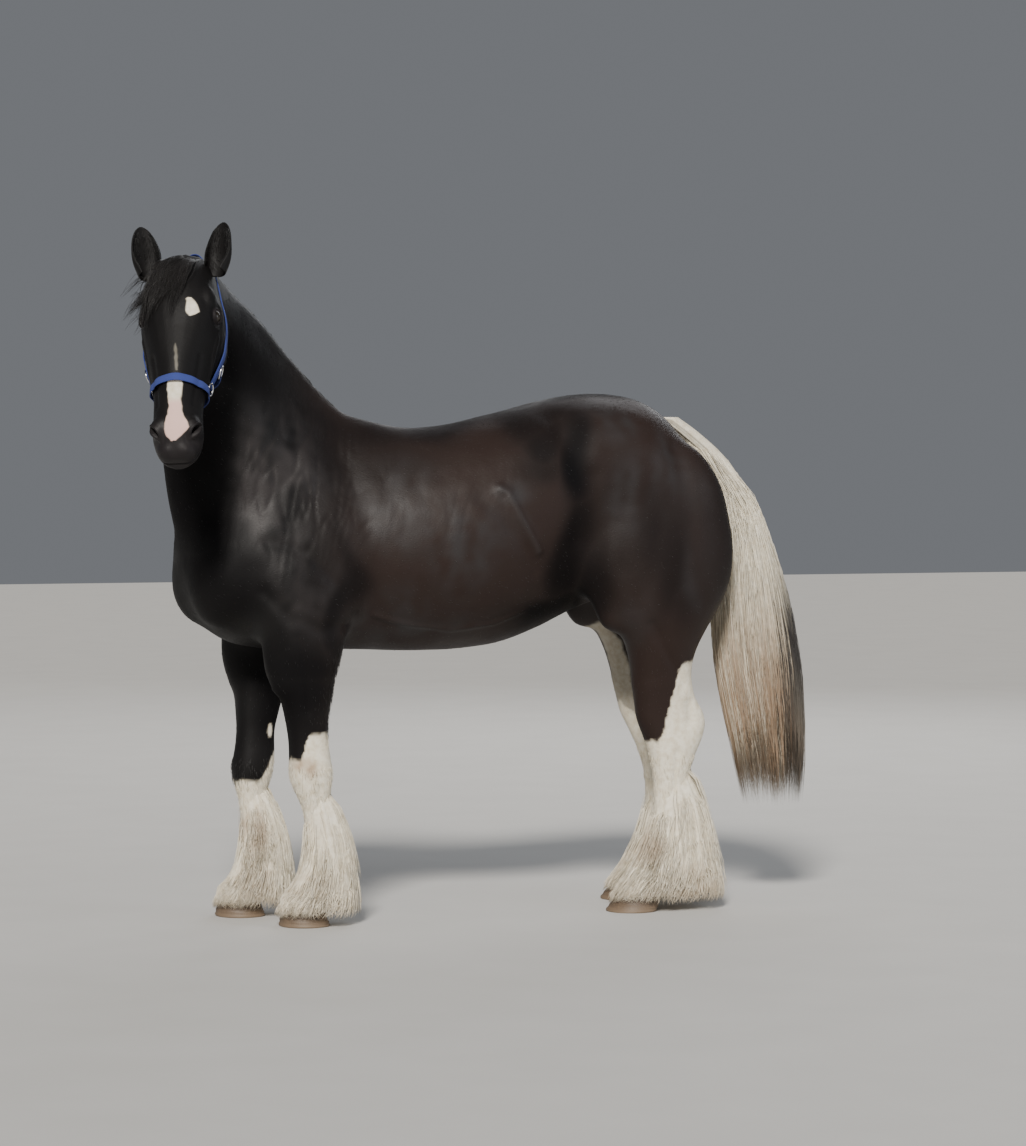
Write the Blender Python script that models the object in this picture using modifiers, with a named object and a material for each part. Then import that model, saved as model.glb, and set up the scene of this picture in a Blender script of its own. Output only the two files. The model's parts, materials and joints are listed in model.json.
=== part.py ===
"""A heavy horse standing square and looking round to its left, life size.

Metres, +Z up. The animal faces -X, its left side is towards -Y, and its four soles
stand on z = 0. The trunk, neck, head and legs are lofted through named sections, fused
into one skin, and parted again with thin flat cuts, so that each named part is one body.
"""

import math
import random

import bmesh
import bpy
import numpy as np
from mathutils import Matrix, Vector
from mathutils.bvhtree import BVHTree

# The gap between two parts that touch, and the voxel size of the fused skin.
GAP = 0.0003
SKIN_VOXEL = 0.0075
RING_POINTS = 28

# Trunk sections: place along X, height of the back, height of the belly, and the half
# widths at 15%, 50% and 85% of the depth below the back.
TRUNK = (
    (-1.005, 1.27, 1.13, 0.04, 0.07, 0.05),
    (-0.985, 1.34, 1.04, 0.09, 0.145, 0.11),
    (-0.94, 1.42, 0.96, 0.12, 0.205, 0.16),
    (-0.86, 1.50, 0.895, 0.135, 0.245, 0.19),
    (-0.74, 1.57, 0.868, 0.13, 0.265, 0.20),
    (-0.62, 1.61, 0.862, 0.125, 0.272, 0.195),
    (-0.50, 1.635, 0.862, 0.12, 0.275, 0.19),
    (-0.40, 1.615, 0.857, 0.15, 0.29, 0.20),
    (-0.27, 1.583, 0.852, 0.20, 0.322, 0.225),
    (-0.12, 1.592, 0.853, 0.235, 0.342, 0.245),
    (0.04, 1.628, 0.868, 0.25, 0.338, 0.235),
    (0.18, 1.663, 0.912, 0.255, 0.315, 0.20),
    (0.30, 1.688, 0.965, 0.26, 0.30, 0.165),
    (0.42, 1.698, 1.01, 0.255, 0.295, 0.16),
    (0.54, 1.68, 1.02, 0.225, 0.285, 0.19),
    (0.65, 1.615, 1.02, 0.17, 0.26, 0.20),
    (0.74, 1.51, 1.03, 0.12, 0.215, 0.18),
    (0.80, 1.40, 1.08, 0.08, 0.16, 0.13),
    (0.83, 1.30, 1.15, 0.03, 0.08, 0.05),
)

# Neck sections: the crest point, the throat point, the way the neck heads, in degrees to
# the left of straight ahead, and the half widths near the crest, half way and near the throat.
NECK = (
    (-0.42, 0.0, 1.60, -0.90, 0.0, 1.02, 0, 0.11, 0.235, 0.17),
    (-0.53, 0.0, 1.705, -1.01, 0.0, 1.23, 4, 0.085, 0.215, 0.155),
    (-0.64, -0.015, 1.825, -1.05, -0.03, 1.42, 12, 0.065, 0.18, 0.13),
    (-0.76, -0.065, 1.945, -1.075, -0.095, 1.575, 24, 0.052, 0.148, 0.11),
    (-0.885, -0.15, 2.035, -1.085, -0.18, 1.69, 36, 0.047, 0.128, 0.095),
    (-0.985, -0.25, 2.09, -1.06, -0.25, 1.76, 46, 0.045, 0.108, 0.08),
    (-1.07, -0.335, 2.105, -1.12, -0.33, 1.82, 56, 0.045, 0.09, 0.06),
)

# The head's own frame: the poll, the way it looks, how far the face leans out from the
# vertical, and its roll.
POLL = Vector((-1.0996, -0.383, 2.10))
HEAD_HEADING = 66.0
FACE_LEAN = 30.0
HEAD_ROLL = -3.0

# Head sections: distance down the face from the poll, the face line and the jaw line
# measured out from the poll's plane, and the half widths near the face, half way and near
# the jaw.
HEAD = (
    (-0.03, -0.035, -0.17, 0.050, 0.075, 0.045),
    (0.03, 0.005, -0.22, 0.070, 0.094, 0.060),
    (0.09, 0.028, -0.262, 0.088, 0.106, 0.074),
    (0.15, 0.040, -0.288, 0.107, 0.120, 0.086),
    (0.21, 0.044, -0.295, 0.110, 0.126, 0.095),
    (0.27, 0.041, -0.282, 0.096, 0.122, 0.094),
    (0.34, 0.036, -0.245, 0.077, 0.107, 0.082),
    (0.41, 0.029, -0.205, 0.060, 0.089, 0.061),
    (0.48, 0.020, -0.172, 0.053, 0.077, 0.050),
    (0.54, 0.012, -0.158, 0.052, 0.076, 0.052),
    (0.60, -0.004, -0.160, 0.052, 0.078, 0.056),
    (0.65, -0.028, -0.152, 0.042, 0.064, 0.048),
    (0.685, -0.055, -0.125, 0.022, 0.038, 0.025),
)

# Leg sections of the left side: front and back along X, height, how much higher the
# front of the section is than its back, half width, and distance from the middle.
FORELEG = (
    (-0.86, -0.50, 1.16, 0.0, 0.100, 0.190),
    (-0.835, -0.49, 1.04, 0.0, 0.105, 0.190),
    (-0.80, -0.50, 0.95, 0.0, 0.100, 0.185),
    (-0.765, -0.515, 0.87, 0.0, 0.092, 0.180),
    (-0.735, -0.54, 0.78, 0.0, 0.080, 0.172),
    (-0.715, -0.555, 0.69, 0.0, 0.067, 0.167),
    (-0.697, -0.562, 0.60, 0.0, 0.059, 0.163),
    (-0.692, -0.552, 0.535, 0.0, 0.064, 0.160),
    (-0.693, -0.545, 0.48, 0.0, 0.067, 0.160),
    (-0.678, -0.550, 0.43, 0.0, 0.058, 0.160),
    (-0.650, -0.556, 0.37, 0.0, 0.043, 0.160),
    (-0.636, -0.548, 0.28, 0.0, 0.041, 0.160),
    (-0.643, -0.534, 0.215, 0.01, 0.050, 0.160),
    (-0.657, -0.540, 0.17, 0.02, 0.051, 0.160),
    (-0.677, -0.576, 0.125, 0.035, 0.047, 0.160),
    (-0.698, -0.590, 0.085, 0.03, 0.058, 0.160),
    (-0.705, -0.585, 0.03, 0.0, 0.060, 0.160),
)
HINDLEG = (
    (0.30, 0.80, 1.34, 0.0, 0.120, 0.170),
    (0.27, 0.83, 1.22, 0.0, 0.135, 0.175),
    (0.290, 0.825, 1.10, 0.0, 0.135, 0.180),
    (0.345, 0.785, 1.00, 0.0, 0.125, 0.182),
    (0.422, 0.73, 0.92, 0.0, 0.108, 0.182),
    (0.452, 0.69, 0.845, 0.0, 0.092, 0.180),
    (0.466, 0.68, 0.77, 0.0, 0.077, 0.175),
    (0.476, 0.695, 0.70, 0.0, 0.065, 0.170),
    (0.485, 0.725, 0.645, -0.03, 0.060, 0.165),
    (0.505, 0.742, 0.60, -0.03, 0.062, 0.162),
    (0.525, 0.728, 0.545, -0.02, 0.062, 0.160),
    (0.545, 0.695, 0.48, -0.01, 0.054, 0.160),
    (0.553, 0.672, 0.41, 0.0, 0.045, 0.160),
    (0.548, 0.657, 0.31, 0.0, 0.042, 0.160),
    (0.535, 0.658, 0.235, 0.01, 0.051, 0.160),
    (0.515, 0.652, 0.19, 0.02, 0.053, 0.160),
    (0.488, 0.612, 0.14, 0.035, 0.049, 0.160),
    (0.466, 0.588, 0.095, 0.03, 0.060, 0.160),
    (0.455, 0.585, 0.03, 0.0, 0.062, 0.160),
)

# How far each foot is set forward (-) or back (+) of the left one, growing from the
# height where the limb starts to swing.
SWING_TOP = {"fore": 1.05, "hind": 1.45}
SWING_FOOT = 0.45
REACH = {
    ("fore", "left"): 0.0,
    ("fore", "right"): -0.105,
    ("hind", "left"): 0.0,
    ("hind", "right"): 0.092,
}
SIDES = {"left": -1.0, "right": 1.0}

# Muscle masses, the same on both sides: centre, radii, and the lean of the mass in
# degrees, its top towards the tail.
MUSCLES = {
    "shoulder_blade": ((-0.70, 0.160, 1.28), (0.16, 0.075, 0.24), 30),
    "point_of_shoulder": ((-0.86, 0.180, 1.13), (0.095, 0.075, 0.13), 20),
    "triceps": ((-0.61, 0.195, 1.08), (0.17, 0.088, 0.19), 25),
    "breast": ((-0.905, 0.100, 1.09), (0.10, 0.115, 0.15), 0),
    "forearm": ((-0.725, 0.182, 0.84), (0.062, 0.062, 0.13), -8),
    "rump": ((0.38, 0.150, 1.51), (0.25, 0.125, 0.155), 0),
    "hip": ((0.25, 0.225, 1.50), (0.10, 0.055, 0.09), 0),
    "buttock": ((0.655, 0.150, 1.26), (0.17, 0.135, 0.29), -8),
    "thigh": ((0.46, 0.190, 1.20), (0.21, 0.122, 0.26), 0),
    "stifle": ((0.400, 0.190, 1.01), (0.074, 0.075, 0.110), 0),
    "gaskin": ((0.535, 0.200, 0.885), (0.088, 0.076, 0.12), -20),
}

# Masses of the head, in its own frame: down the face, out from it, sideways.
FACE_MASSES = {
    "jowl": ((0.215, -0.195, 0.080), (0.100, 0.085, 0.042)),
    "brow": ((0.160, -0.015, 0.086), (0.050, 0.036, 0.030)),
    "cheek_crest": ((0.30, -0.075, 0.078), (0.095, 0.014, 0.024)),
    "nostril_wing": ((0.590, -0.038, 0.047), (0.038, 0.034, 0.032)),
    "upper_lip": ((0.652, -0.075, 0.020), (0.034, 0.044, 0.042)),
    "chin": ((0.605, -0.165, 0.012), (0.034, 0.024, 0.034)),
}

# Flat cuts that part the body: a point and the direction that each cut faces.
NECK_CUT = (Vector((-0.56, 0.0, 1.66)), Vector((-0.66, 0.0, 0.75)))
HEAD_CUT = (Vector((-1.005, -0.275, 2.06)), Vector((-0.64, -0.70, -0.12)))
ELBOW_HEIGHT = 0.845
KNEE_HEIGHT = 0.575
HOCK_HEIGHT = 0.69
GROIN_CUT = (Vector((0.25, 0.0, 0.885)), Vector((-0.215, 0.0, 0.977)))
KNIFE_MARGIN = 0.03

# Hooves: the sole's radius, the coronet's radius, height at the toe and at the heel.
SOLE_RADIUS = 0.088
CORONET_RADIUS = 0.063
TOE_HEIGHT = 0.092
HEEL_HEIGHT = 0.052
SOLE_CENTRE = {"fore": -0.636, "hind": 0.476}
CORONET_SETBACK = {"fore": -0.006, "hind": 0.046}

# Eyes, ears and mouth, in the head's frame.
EYE_CENTRE = (0.205, -0.038, 0.101)
EYE_RADIUS = 0.0235
LID_RADIUS = 0.0285
EYE_LOOKS = (0.05, 0.42, 0.90)
EYE_OPENING = (0.0185, 0.0115)
NOSTRIL = (0.600, -0.030, 0.052)
NOSTRIL_RADII = (0.020, 0.011, 0.020)
MOUTH_START = 0.535
MOUTH_LEVEL = -0.110
MOUTH_GAP = 0.0022
MOUTH_ROWS = ((MOUTH_START, 0.004), (0.57, 0.0), (0.61, -0.001), (0.65, 0.004), (0.72, 0.016))
EAR_ROOT = (0.022, -0.030, 0.095)
EAR_LENGTH = 0.146
EAR_HALF_WIDTH = 0.046
EAR_WALL = 0.0045
EAR_SPREAD = 16.0
EAR_TURN = -22.0

# Hair. The locks grow out of a core of this share of the breadth. At the root a tail lock has
# ROOT_SHARE of it, and every second lock lies under its neighbours at LAYERS of the breadth.
CORE_SHARE = 0.5
ROOT_SHARE = {"tail": 0.36, "feather": 0.40}
TAIL_LAYERS = (1.0, 0.82)
FEATHER_LAYERS = (1.0, 0.84)
HAIR_SEED = 20

# Tail sections: the middle along X, height, half depth along X and half width along Y.
TAIL = (
    (0.655, 1.615, 0.045, 0.045),
    (0.735, 1.560, 0.052, 0.055),
    (0.835, 1.470, 0.062, 0.068),
    (0.905, 1.340, 0.078, 0.082),
    (0.945, 1.180, 0.102, 0.095),
    (0.965, 1.000, 0.138, 0.105),
    (0.990, 0.800, 0.150, 0.110),
    (1.015, 0.620, 0.140, 0.105),
    (1.035, 0.470, 0.125, 0.095),
    (1.045, 0.315, 0.105, 0.080),
)
TAIL_LOCKS = 22

# Feather sections of a leg: front and back along X, height, half width.
FEATHER = {
    "fore": (
        (-0.650, -0.565, 0.46, 0.040),
        (-0.651, -0.530, 0.40, 0.052),
        (-0.643, -0.500, 0.32, 0.066),
        (-0.646, -0.470, 0.22, 0.080),
        (-0.667, -0.458, 0.13, 0.093),
        (-0.724, -0.452, 0.06, 0.112),
        (-0.738, -0.458, 0.02, 0.110),
    ),
    "hind": (
        (0.560, 0.690, 0.49, 0.040),
        (0.555, 0.718, 0.41, 0.054),
        (0.542, 0.750, 0.32, 0.068),
        (0.515, 0.775, 0.22, 0.084),
        (0.475, 0.795, 0.13, 0.100),
        (0.412, 0.808, 0.06, 0.115),
        (0.402, 0.800, 0.02, 0.110),
    ),
}
FEATHER_LOCKS = 14

# Mane and forelock: how many locks, their width, how far they fall, how far off the skin the
# layers lie, and the part of the crest from the poll down that carries them.
MANE_LOCKS = 22
MANE_WIDTH = 0.062
MANE_FALL = 0.36
MANE_SPAN = (0.08, 0.90)
MANE_LAYERS = (0.65, 1.5)
FORELOCK_LOCKS = 6
FORELOCK_WIDTH = 0.026
FORELOCK_LAYERS = (0.55, 1.2)
HAIR_LIFT = 0.016

# Halter webbing: width, thickness, and how far it and the crownpiece lie off the skin.
WEB_WIDTH = 0.025
WEB_THICKNESS = 0.0035
WEB_LIFT = 0.0030
CROWN_LIFT = 0.0060
NOSEBAND_PLACE = 0.440
RING_RADIUS = 0.019
RING_WIRE = 0.0028

# Triangles that each part of the skin keeps.
TRIANGLES = {
    "torso": 1500,
    "neck": 460,
    "head": 1300,
    "forearm": 300,
    "cannon_fore": 320,
    "gaskin": 320,
    "cannon_hind": 360,
    "maned": 2100,
    "face": 2700,
    "feathered": 960,
    "tail": 2400,
}


def clear_scene():
    for thing in list(bpy.data.objects):
        bpy.data.objects.remove(thing)


clear_scene()
HORSE = bpy.data.collections.new("heavy_horse")
HELPERS = bpy.data.collections.new("cutters")
bpy.context.scene.collection.children.link(HORSE)
bpy.context.scene.collection.children.link(HELPERS)
HELPERS.hide_render = True


def material(name, colour, roughness, metallic=0.0):
    """A plain Principled material, made once for each name."""
    made = bpy.data.materials.get(name)
    if made:
        return made
    made = bpy.data.materials.new(name)
    made.use_nodes = True
    shader = made.node_tree.nodes["Principled BSDF"]
    shader.inputs["Base Color"].default_value = (*colour, 1.0)
    shader.inputs["Roughness"].default_value = roughness
    shader.inputs["Metallic"].default_value = metallic
    return made


def black_coat():
    return material("black_coat", (0.022, 0.016, 0.015), 0.45)


def white_hair():
    return material("white_hair", (0.72, 0.66, 0.55), 0.7)


def add_node(name, mesh, finish):
    """Puts a finished mesh in the horse's collection as one named part."""
    part = bpy.data.objects.new(name, mesh)
    HORSE.objects.link(part)
    mesh.materials.clear()
    mesh.materials.append(finish)
    return part


def mesh_from(bm, name):
    """Triangulates a bmesh, points its faces outwards and returns it as a mesh."""
    bmesh.ops.remove_doubles(bm, verts=bm.verts, dist=1e-6)
    bmesh.ops.triangulate(bm, faces=bm.faces)
    bmesh.ops.recalc_face_normals(bm, faces=bm.faces)
    mesh = bpy.data.meshes.new(name)
    bm.to_mesh(mesh)
    bm.free()
    return mesh


def evaluated_mesh(thing):
    """The mesh of an object as its modifiers leave it; the object is then removed."""
    graph = bpy.context.evaluated_depsgraph_get()
    mesh = bpy.data.meshes.new_from_object(thing.evaluated_get(graph))
    mesh.transform(thing.matrix_world)
    bpy.data.objects.remove(thing)
    return mesh


def helper(name, mesh):
    thing = bpy.data.objects.new(name, mesh)
    thing.display_type = "WIRE"
    thing.hide_render = True
    HELPERS.objects.link(thing)
    return thing


def through(rows, count):
    """Reads `count` rows from a smooth curve through the rows of a table."""
    table = np.array(rows, float)
    last = len(table) - 1
    places = np.linspace(0, last, count)
    start = np.clip(places.astype(int), 0, last - 1)
    t = (places - start)[:, None]
    before, here = table[np.maximum(start - 1, 0)], table[start]
    there, after = table[start + 1], table[np.minimum(start + 2, last)]
    return here + 0.5 * t * (
        there - before
        + t * (2 * before - 5 * here + 4 * there - after + t * (3 * (here - there) + after - before))
    )


def section(top, bottom, side, widths, count=RING_POINTS):
    """A closed ring from a top and a bottom point and three half widths between them."""
    near, middle, far = widths
    share = 0.7
    round_there = math.sqrt(1 - share * share)
    near, far = near / round_there, far / round_there
    slope = (near - far) / (2 * share)
    bend = ((near + far) / 2 - middle) / (share * share)
    angle = np.linspace(0, 2 * math.pi, count, endpoint=False)
    along, across = np.cos(angle), np.sin(angle)
    width = middle + slope * along + bend * along * along
    top, bottom, side = (np.array(v, float) for v in (top, bottom, side))
    return (top + bottom) / 2 + np.outer(along, (top - bottom) / 2) + np.outer(across * width, side)


def loft(rings):
    """A closed bmesh through a list of rings of equal length, with domed ends left flat."""
    bm = bmesh.new()
    loops = [[bm.verts.new(point) for point in ring] for ring in rings]
    for one, two in zip(loops, loops[1:]):
        for i in range(len(one)):
            j = (i + 1) % len(one)
            bm.faces.new((one[i], one[j], two[j], two[i]))
    bm.faces.new(loops[0][::-1])
    bm.faces.new(loops[-1])
    return bm


def ball(centre, radii, lean=0.0, frame=None, segments=20, rings=12):
    """An ellipsoid, leaned about the Y axis, in world space or in a given frame."""
    bm = bmesh.new()
    bmesh.ops.create_uvsphere(bm, u_segments=segments, v_segments=rings, radius=1.0)
    place = Matrix.Translation(centre) @ Matrix.Rotation(math.radians(lean), 4, "Y")
    place = place @ Matrix.Diagonal((*radii, 1.0))
    bm.transform(frame @ place if frame else place)
    return bm


def head_frame():
    """Columns: down the face, out from the face, and to the animal's left."""
    heading, lean = math.radians(HEAD_HEADING), math.radians(FACE_LEAN)
    looks = Vector((-math.cos(heading), -math.sin(heading), 0))
    up = Vector((0, 0, 1))
    down_face = looks * math.sin(lean) - up * math.cos(lean)
    out = looks * math.cos(lean) + up * math.sin(lean)
    left = up.cross(looks)
    frame = Matrix((down_face, out, left)).transposed()
    frame = Matrix.Rotation(math.radians(-HEAD_ROLL), 3, looks) @ frame
    return Matrix.Translation(POLL) @ frame.to_4x4()


HEAD_FRAME = head_frame()


def trunk():
    rings = [
        section((x, 0, top), (x, 0, bottom), (0, -1, 0), widths)
        for x, top, bottom, *widths in through(TRUNK, 46)
    ]
    return loft(rings)


def neck():
    rings = []
    for row in through(NECK, 26):
        heading = math.radians(row[6])
        side = (math.sin(heading), -math.cos(heading), 0)
        rings.append(section(row[0:3], row[3:6], side, row[7:10]))
    return loft(rings)


def head():
    rings = []
    for down, face, jaw, *widths in through(HEAD, 40):
        rings.append(section((down, face, 0), (down, jaw, 0), (0, 0, 1), widths))
    bm = loft(rings)
    bm.transform(HEAD_FRAME)
    return bm


def swing(pair, side, height):
    """How far a limb is carried forward or back at a height."""
    share = (SWING_TOP[pair] - height) / (SWING_TOP[pair] - SWING_FOOT)
    return REACH[pair, side] * min(max(share, 0.0), 1.15)


def leg(pair, side):
    rings = []
    rows = through(FORELEG if pair == "fore" else HINDLEG, 60)
    for front, back, height, tilt, half_width, place in rows:
        carried = swing(pair, side, height)
        y = place * SIDES[side]
        top = (front + carried, y, height + tilt / 2)
        bottom = (back + carried, y, height - tilt / 2)
        widths = (half_width * 0.80, half_width, half_width * 0.72)
        rings.append(section(top, bottom, (0, -1, 0), widths))
    return loft(rings)


def muscles(side):
    made = []
    for name, (centre, radii, lean) in MUSCLES.items():
        pair = "fore" if centre[0] < 0 else "hind"
        x, y, z = centre
        place = (x + swing(pair, side, z), y * SIDES[side], z)
        made.append(ball(place, radii, lean))
    return made


def face_masses():
    made = []
    for centre, radii in FACE_MASSES.values():
        for way in (-1, 1):
            place = (centre[0], centre[1], centre[2] * way)
            made.append(ball(place, radii, frame=HEAD_FRAME))
    return made


def merged(pieces):
    """Several closed bmeshes as one mesh, not yet fused."""
    whole = bpy.data.meshes.new("pieces")
    bm = bmesh.new()
    for piece in pieces:
        bmesh.ops.recalc_face_normals(piece, faces=piece.faces)
        mesh = bpy.data.meshes.new("piece")
        piece.to_mesh(mesh)
        piece.free()
        bm.from_mesh(mesh)
        bpy.data.meshes.remove(mesh)
    bm.to_mesh(whole)
    bm.free()
    return whole


def fused_skin():
    """All flesh as one closed skin: fused by a voxel remesh, then smoothed, the head least."""
    pieces = [trunk(), neck(), head(), *face_masses()]
    for side in SIDES:
        pieces += [leg("fore", side), leg("hind", side), *muscles(side)]
    body = helper("skin", merged(pieces))
    fuse = body.modifiers.new("fuse", "REMESH")
    fuse.mode = "VOXEL"
    fuse.voxel_size = SKIN_VOXEL
    body = helper("skin", evaluated_mesh(body))
    to_head = HEAD_FRAME.inverted()
    groups = {"all": body.vertex_groups.new(name="all"), "body": body.vertex_groups.new(name="body")}
    for vertex in body.data.vertices:
        p = to_head @ vertex.co
        behind = min(max((-p.y - 0.20) / 0.12, 0.0), 1.0)
        low = 1.0 if vertex.co.z > 0.75 else 0.35
        groups["body"].add([vertex.index], max(behind * low, 0.0), "REPLACE")
    first = body.modifiers.new("soften", "SMOOTH")
    first.factor = 0.5
    first.iterations = 5
    second = body.modifiers.new("soften_body", "SMOOTH")
    second.factor = 0.8
    second.iterations = 130
    second.vertex_group = "body"
    return evaluated_mesh(body)


def shape_eyes(mesh):
    """Domes the skin over each eyeball, as the lids do."""
    to_head = HEAD_FRAME.inverted()
    for way in (-1, 1):
        eye = Vector((EYE_CENTRE[0], EYE_CENTRE[1], EYE_CENTRE[2] * way))
        for vertex in mesh.vertices:
            p = to_head @ vertex.co
            away = p - eye
            if away.length < LID_RADIUS and p.z * way > 0:
                vertex.co = HEAD_FRAME @ (eye + away.normalized() * LID_RADIUS)
    return mesh


def cut(mesh, planes, margin):
    """Keeps what lies on the inner side of every plane (point, outward normal), and caps it."""
    bm = bmesh.new()
    bm.from_mesh(mesh)
    for point, outward in planes:
        outward = outward.normalized()
        place = point + outward * margin
        geometry = [*bm.verts, *bm.edges, *bm.faces]
        bmesh.ops.bisect_plane(
            bm, geom=geometry, plane_co=place, plane_no=outward, clear_outer=True, dist=1e-7
        )
        open_edges = [edge for edge in bm.edges if edge.is_boundary]
        if open_edges:
            bmesh.ops.holes_fill(bm, edges=open_edges, sides=0)
    return bm


def largest_piece(bm):
    """Leaves only the closed surface with the most faces."""
    bm.faces.ensure_lookup_table()
    seen, groups = set(), []
    for face in bm.faces:
        if face.index in seen:
            continue
        group, queue = [], [face]
        seen.add(face.index)
        while queue:
            one = queue.pop()
            group.append(one)
            for edge in one.edges:
                for other in edge.link_faces if len(edge.link_faces) == 2 else ():
                    if other.index not in seen:
                        seen.add(other.index)
                        queue.append(other)
        groups.append(group)
    groups.sort(key=len)
    for group in groups[:-1]:
        bmesh.ops.delete(bm, geom=group, context="FACES")
    loose = [vertex for vertex in bm.verts if not vertex.link_faces]
    bmesh.ops.delete(bm, geom=loose, context="VERTS")
    return bm


def part_of_skin(skin, planes, triangles):
    """One part: cut roughly, thinned to its share of triangles, then cut exactly."""
    rough = helper("rough", mesh_from(largest_piece(cut(skin, planes, KNIFE_MARGIN)), "rough"))
    thin = rough.modifiers.new("thin", "DECIMATE")
    thin.ratio = triangles / len(rough.data.polygons)
    return mesh_from(largest_piece(cut(evaluated_mesh(rough), planes, -GAP / 2)), "part")


def joined(base, pieces):
    """The base mesh and many closed meshes as one body, by one Boolean union."""
    return boolean(base, pieces, "UNION")


def thinned(mesh, most):
    """Collapses the slivers that a union leaves, down to a number of triangles."""
    thing = helper("locks", mesh)
    thin = thing.modifiers.new("thin", "DECIMATE")
    thin.ratio = min(most / len(mesh.polygons), 1.0)
    bm = bmesh.new()
    bm.from_mesh(evaluated_mesh(thing))
    return mesh_from(largest_piece(bm), "body")


def carved(base, pieces):
    return boolean(base, pieces, "DIFFERENCE")


def boolean(base, pieces, operation):
    """An exact Boolean; where its result touches itself, the pieces move by microns first."""
    draw = random.Random(7)
    for attempt in range(6):
        bm = bmesh.new()
        bm.from_mesh(boolean_once(base, pieces, operation))
        bmesh.ops.remove_doubles(bm, verts=bm.verts, dist=2e-6)
        bmesh.ops.dissolve_degenerate(bm, edges=bm.edges, dist=2e-6)
        bm = largest_piece(bm)
        if all(item.is_manifold for item in [*bm.edges, *bm.verts]):
            break
        for mesh in pieces:
            mesh.transform(Matrix.Translation([draw.uniform(-2e-5, 2e-5) for _ in range(3)]))
    return mesh_from(bm, "body")


def boolean_once(base, pieces, operation):
    body = helper("base", base.copy())
    group = bpy.data.collections.new("operands")
    bpy.context.scene.collection.children.link(group)
    for mesh in pieces:
        group.objects.link(bpy.data.objects.new("operand", mesh))
    change = body.modifiers.new("boolean", "BOOLEAN")
    change.operation = operation
    change.operand_type = "COLLECTION"
    change.collection = group
    change.solver = "EXACT"
    made = evaluated_mesh(body)
    for thing in list(group.objects):
        bpy.data.objects.remove(thing)
    bpy.data.collections.remove(group)
    return made


def swollen(mesh, by=GAP * 0.85):
    """A copy of a mesh grown along its normals, to cut a neighbour clear of it."""
    grown = mesh.copy()
    normals = [Vector(n.vector) for n in mesh.vertex_normals]
    for vertex, normal in zip(grown.vertices, normals):
        vertex.co += normal * by
    return grown


def body_parts():
    """Parts the skin into torso, neck, head and the lengths of the legs."""
    skin = shape_eyes(fused_skin())
    up, down = Vector((0, 0, 1)), Vector((0, 0, -1))
    flip = lambda plane: (plane[0], -plane[1])
    at = lambda z, way: (Vector((0, 0, z)), way)
    parts = {
        "head": part_of_skin(skin, [flip(HEAD_CUT)], TRIANGLES["head"]),
        "neck": part_of_skin(skin, [HEAD_CUT, flip(NECK_CUT)], TRIANGLES["neck"]),
        "torso": part_of_skin(
            skin, [NECK_CUT, at(ELBOW_HEIGHT, down), flip(GROIN_CUT)], TRIANGLES["torso"]
        ),
    }
    for side, way in SIDES.items():
        inside = (Vector((0, 0, 0)), Vector((0, -way, 0)))
        ahead = (Vector((-0.2, 0, 0)), Vector((1, 0, 0)))
        behind = (Vector((0.1, 0, 0)), Vector((-1, 0, 0)))
        fore, hind = [inside, ahead], [inside, behind]
        parts[f"forearm_{side}"] = part_of_skin(
            skin, [*fore, at(ELBOW_HEIGHT, up), at(KNEE_HEIGHT, down)], TRIANGLES["forearm"]
        )
        parts[f"cannon_fore_{side}"] = part_of_skin(
            skin, [*fore, at(KNEE_HEIGHT, up), coronet("fore", side, down)], TRIANGLES["cannon_fore"]
        )
        parts[f"gaskin_{side}"] = part_of_skin(
            skin, [*hind, GROIN_CUT, at(HOCK_HEIGHT, down)], TRIANGLES["gaskin"]
        )
        parts[f"cannon_hind_{side}"] = part_of_skin(
            skin, [*hind, at(HOCK_HEIGHT, up), coronet("hind", side, down)], TRIANGLES["cannon_hind"]
        )
    return parts


def foot_place(pair, side):
    """The centre of the sole."""
    x = SOLE_CENTRE[pair] + swing(pair, side, 0.0)
    return Vector((x, 0.16 * SIDES[side], 0.0))


def coronet(pair, side, way):
    """The slanted plane where the hair ends and the hoof begins."""
    place = foot_place(pair, side)
    slope = (TOE_HEIGHT - HEEL_HEIGHT) / (2 * CORONET_RADIUS)
    normal = Vector((slope, 0, 1)).normalized() * way.z
    return place + Vector((CORONET_SETBACK[pair], 0, (TOE_HEIGHT + HEEL_HEIGHT) / 2)), normal


def hoof(pair, side):
    """A flared horn cone, cut flat on the ground and slanted at the coronet."""
    bm = bmesh.new()
    bmesh.ops.create_cone(
        bm, cap_ends=True, segments=18, radius1=SOLE_RADIUS, radius2=CORONET_RADIUS, depth=1.0
    )
    place = foot_place(pair, side)
    slope = (TOE_HEIGHT - HEEL_HEIGHT) / (2 * CORONET_RADIUS)
    for vertex in bm.verts:
        at_top = vertex.co.z > 0
        vertex.co.z = (TOE_HEIGHT + HEEL_HEIGHT) / 2 - slope * vertex.co.x - GAP / 2 if at_top else 0.0
        vertex.co.x += CORONET_SETBACK[pair] if at_top else 0.0
    rim = [edge for edge in bm.edges if all(v.co.z < 1e-6 for v in edge.verts)]
    bmesh.ops.bevel(bm, geom=rim, offset=0.004, segments=2, affect="EDGES", profile=0.5)
    bm.transform(Matrix.Translation(place))
    return mesh_from(bm, "hoof")


def eye_place(way):
    return HEAD_FRAME @ Vector((EYE_CENTRE[0], EYE_CENTRE[1], EYE_CENTRE[2] * way))


def eyeball(way, radius):
    bm = bmesh.new()
    bmesh.ops.create_uvsphere(bm, u_segments=12, v_segments=7, radius=radius)
    bm.transform(Matrix.Translation(eye_place(way)))
    return mesh_from(bm, "eye")


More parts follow.
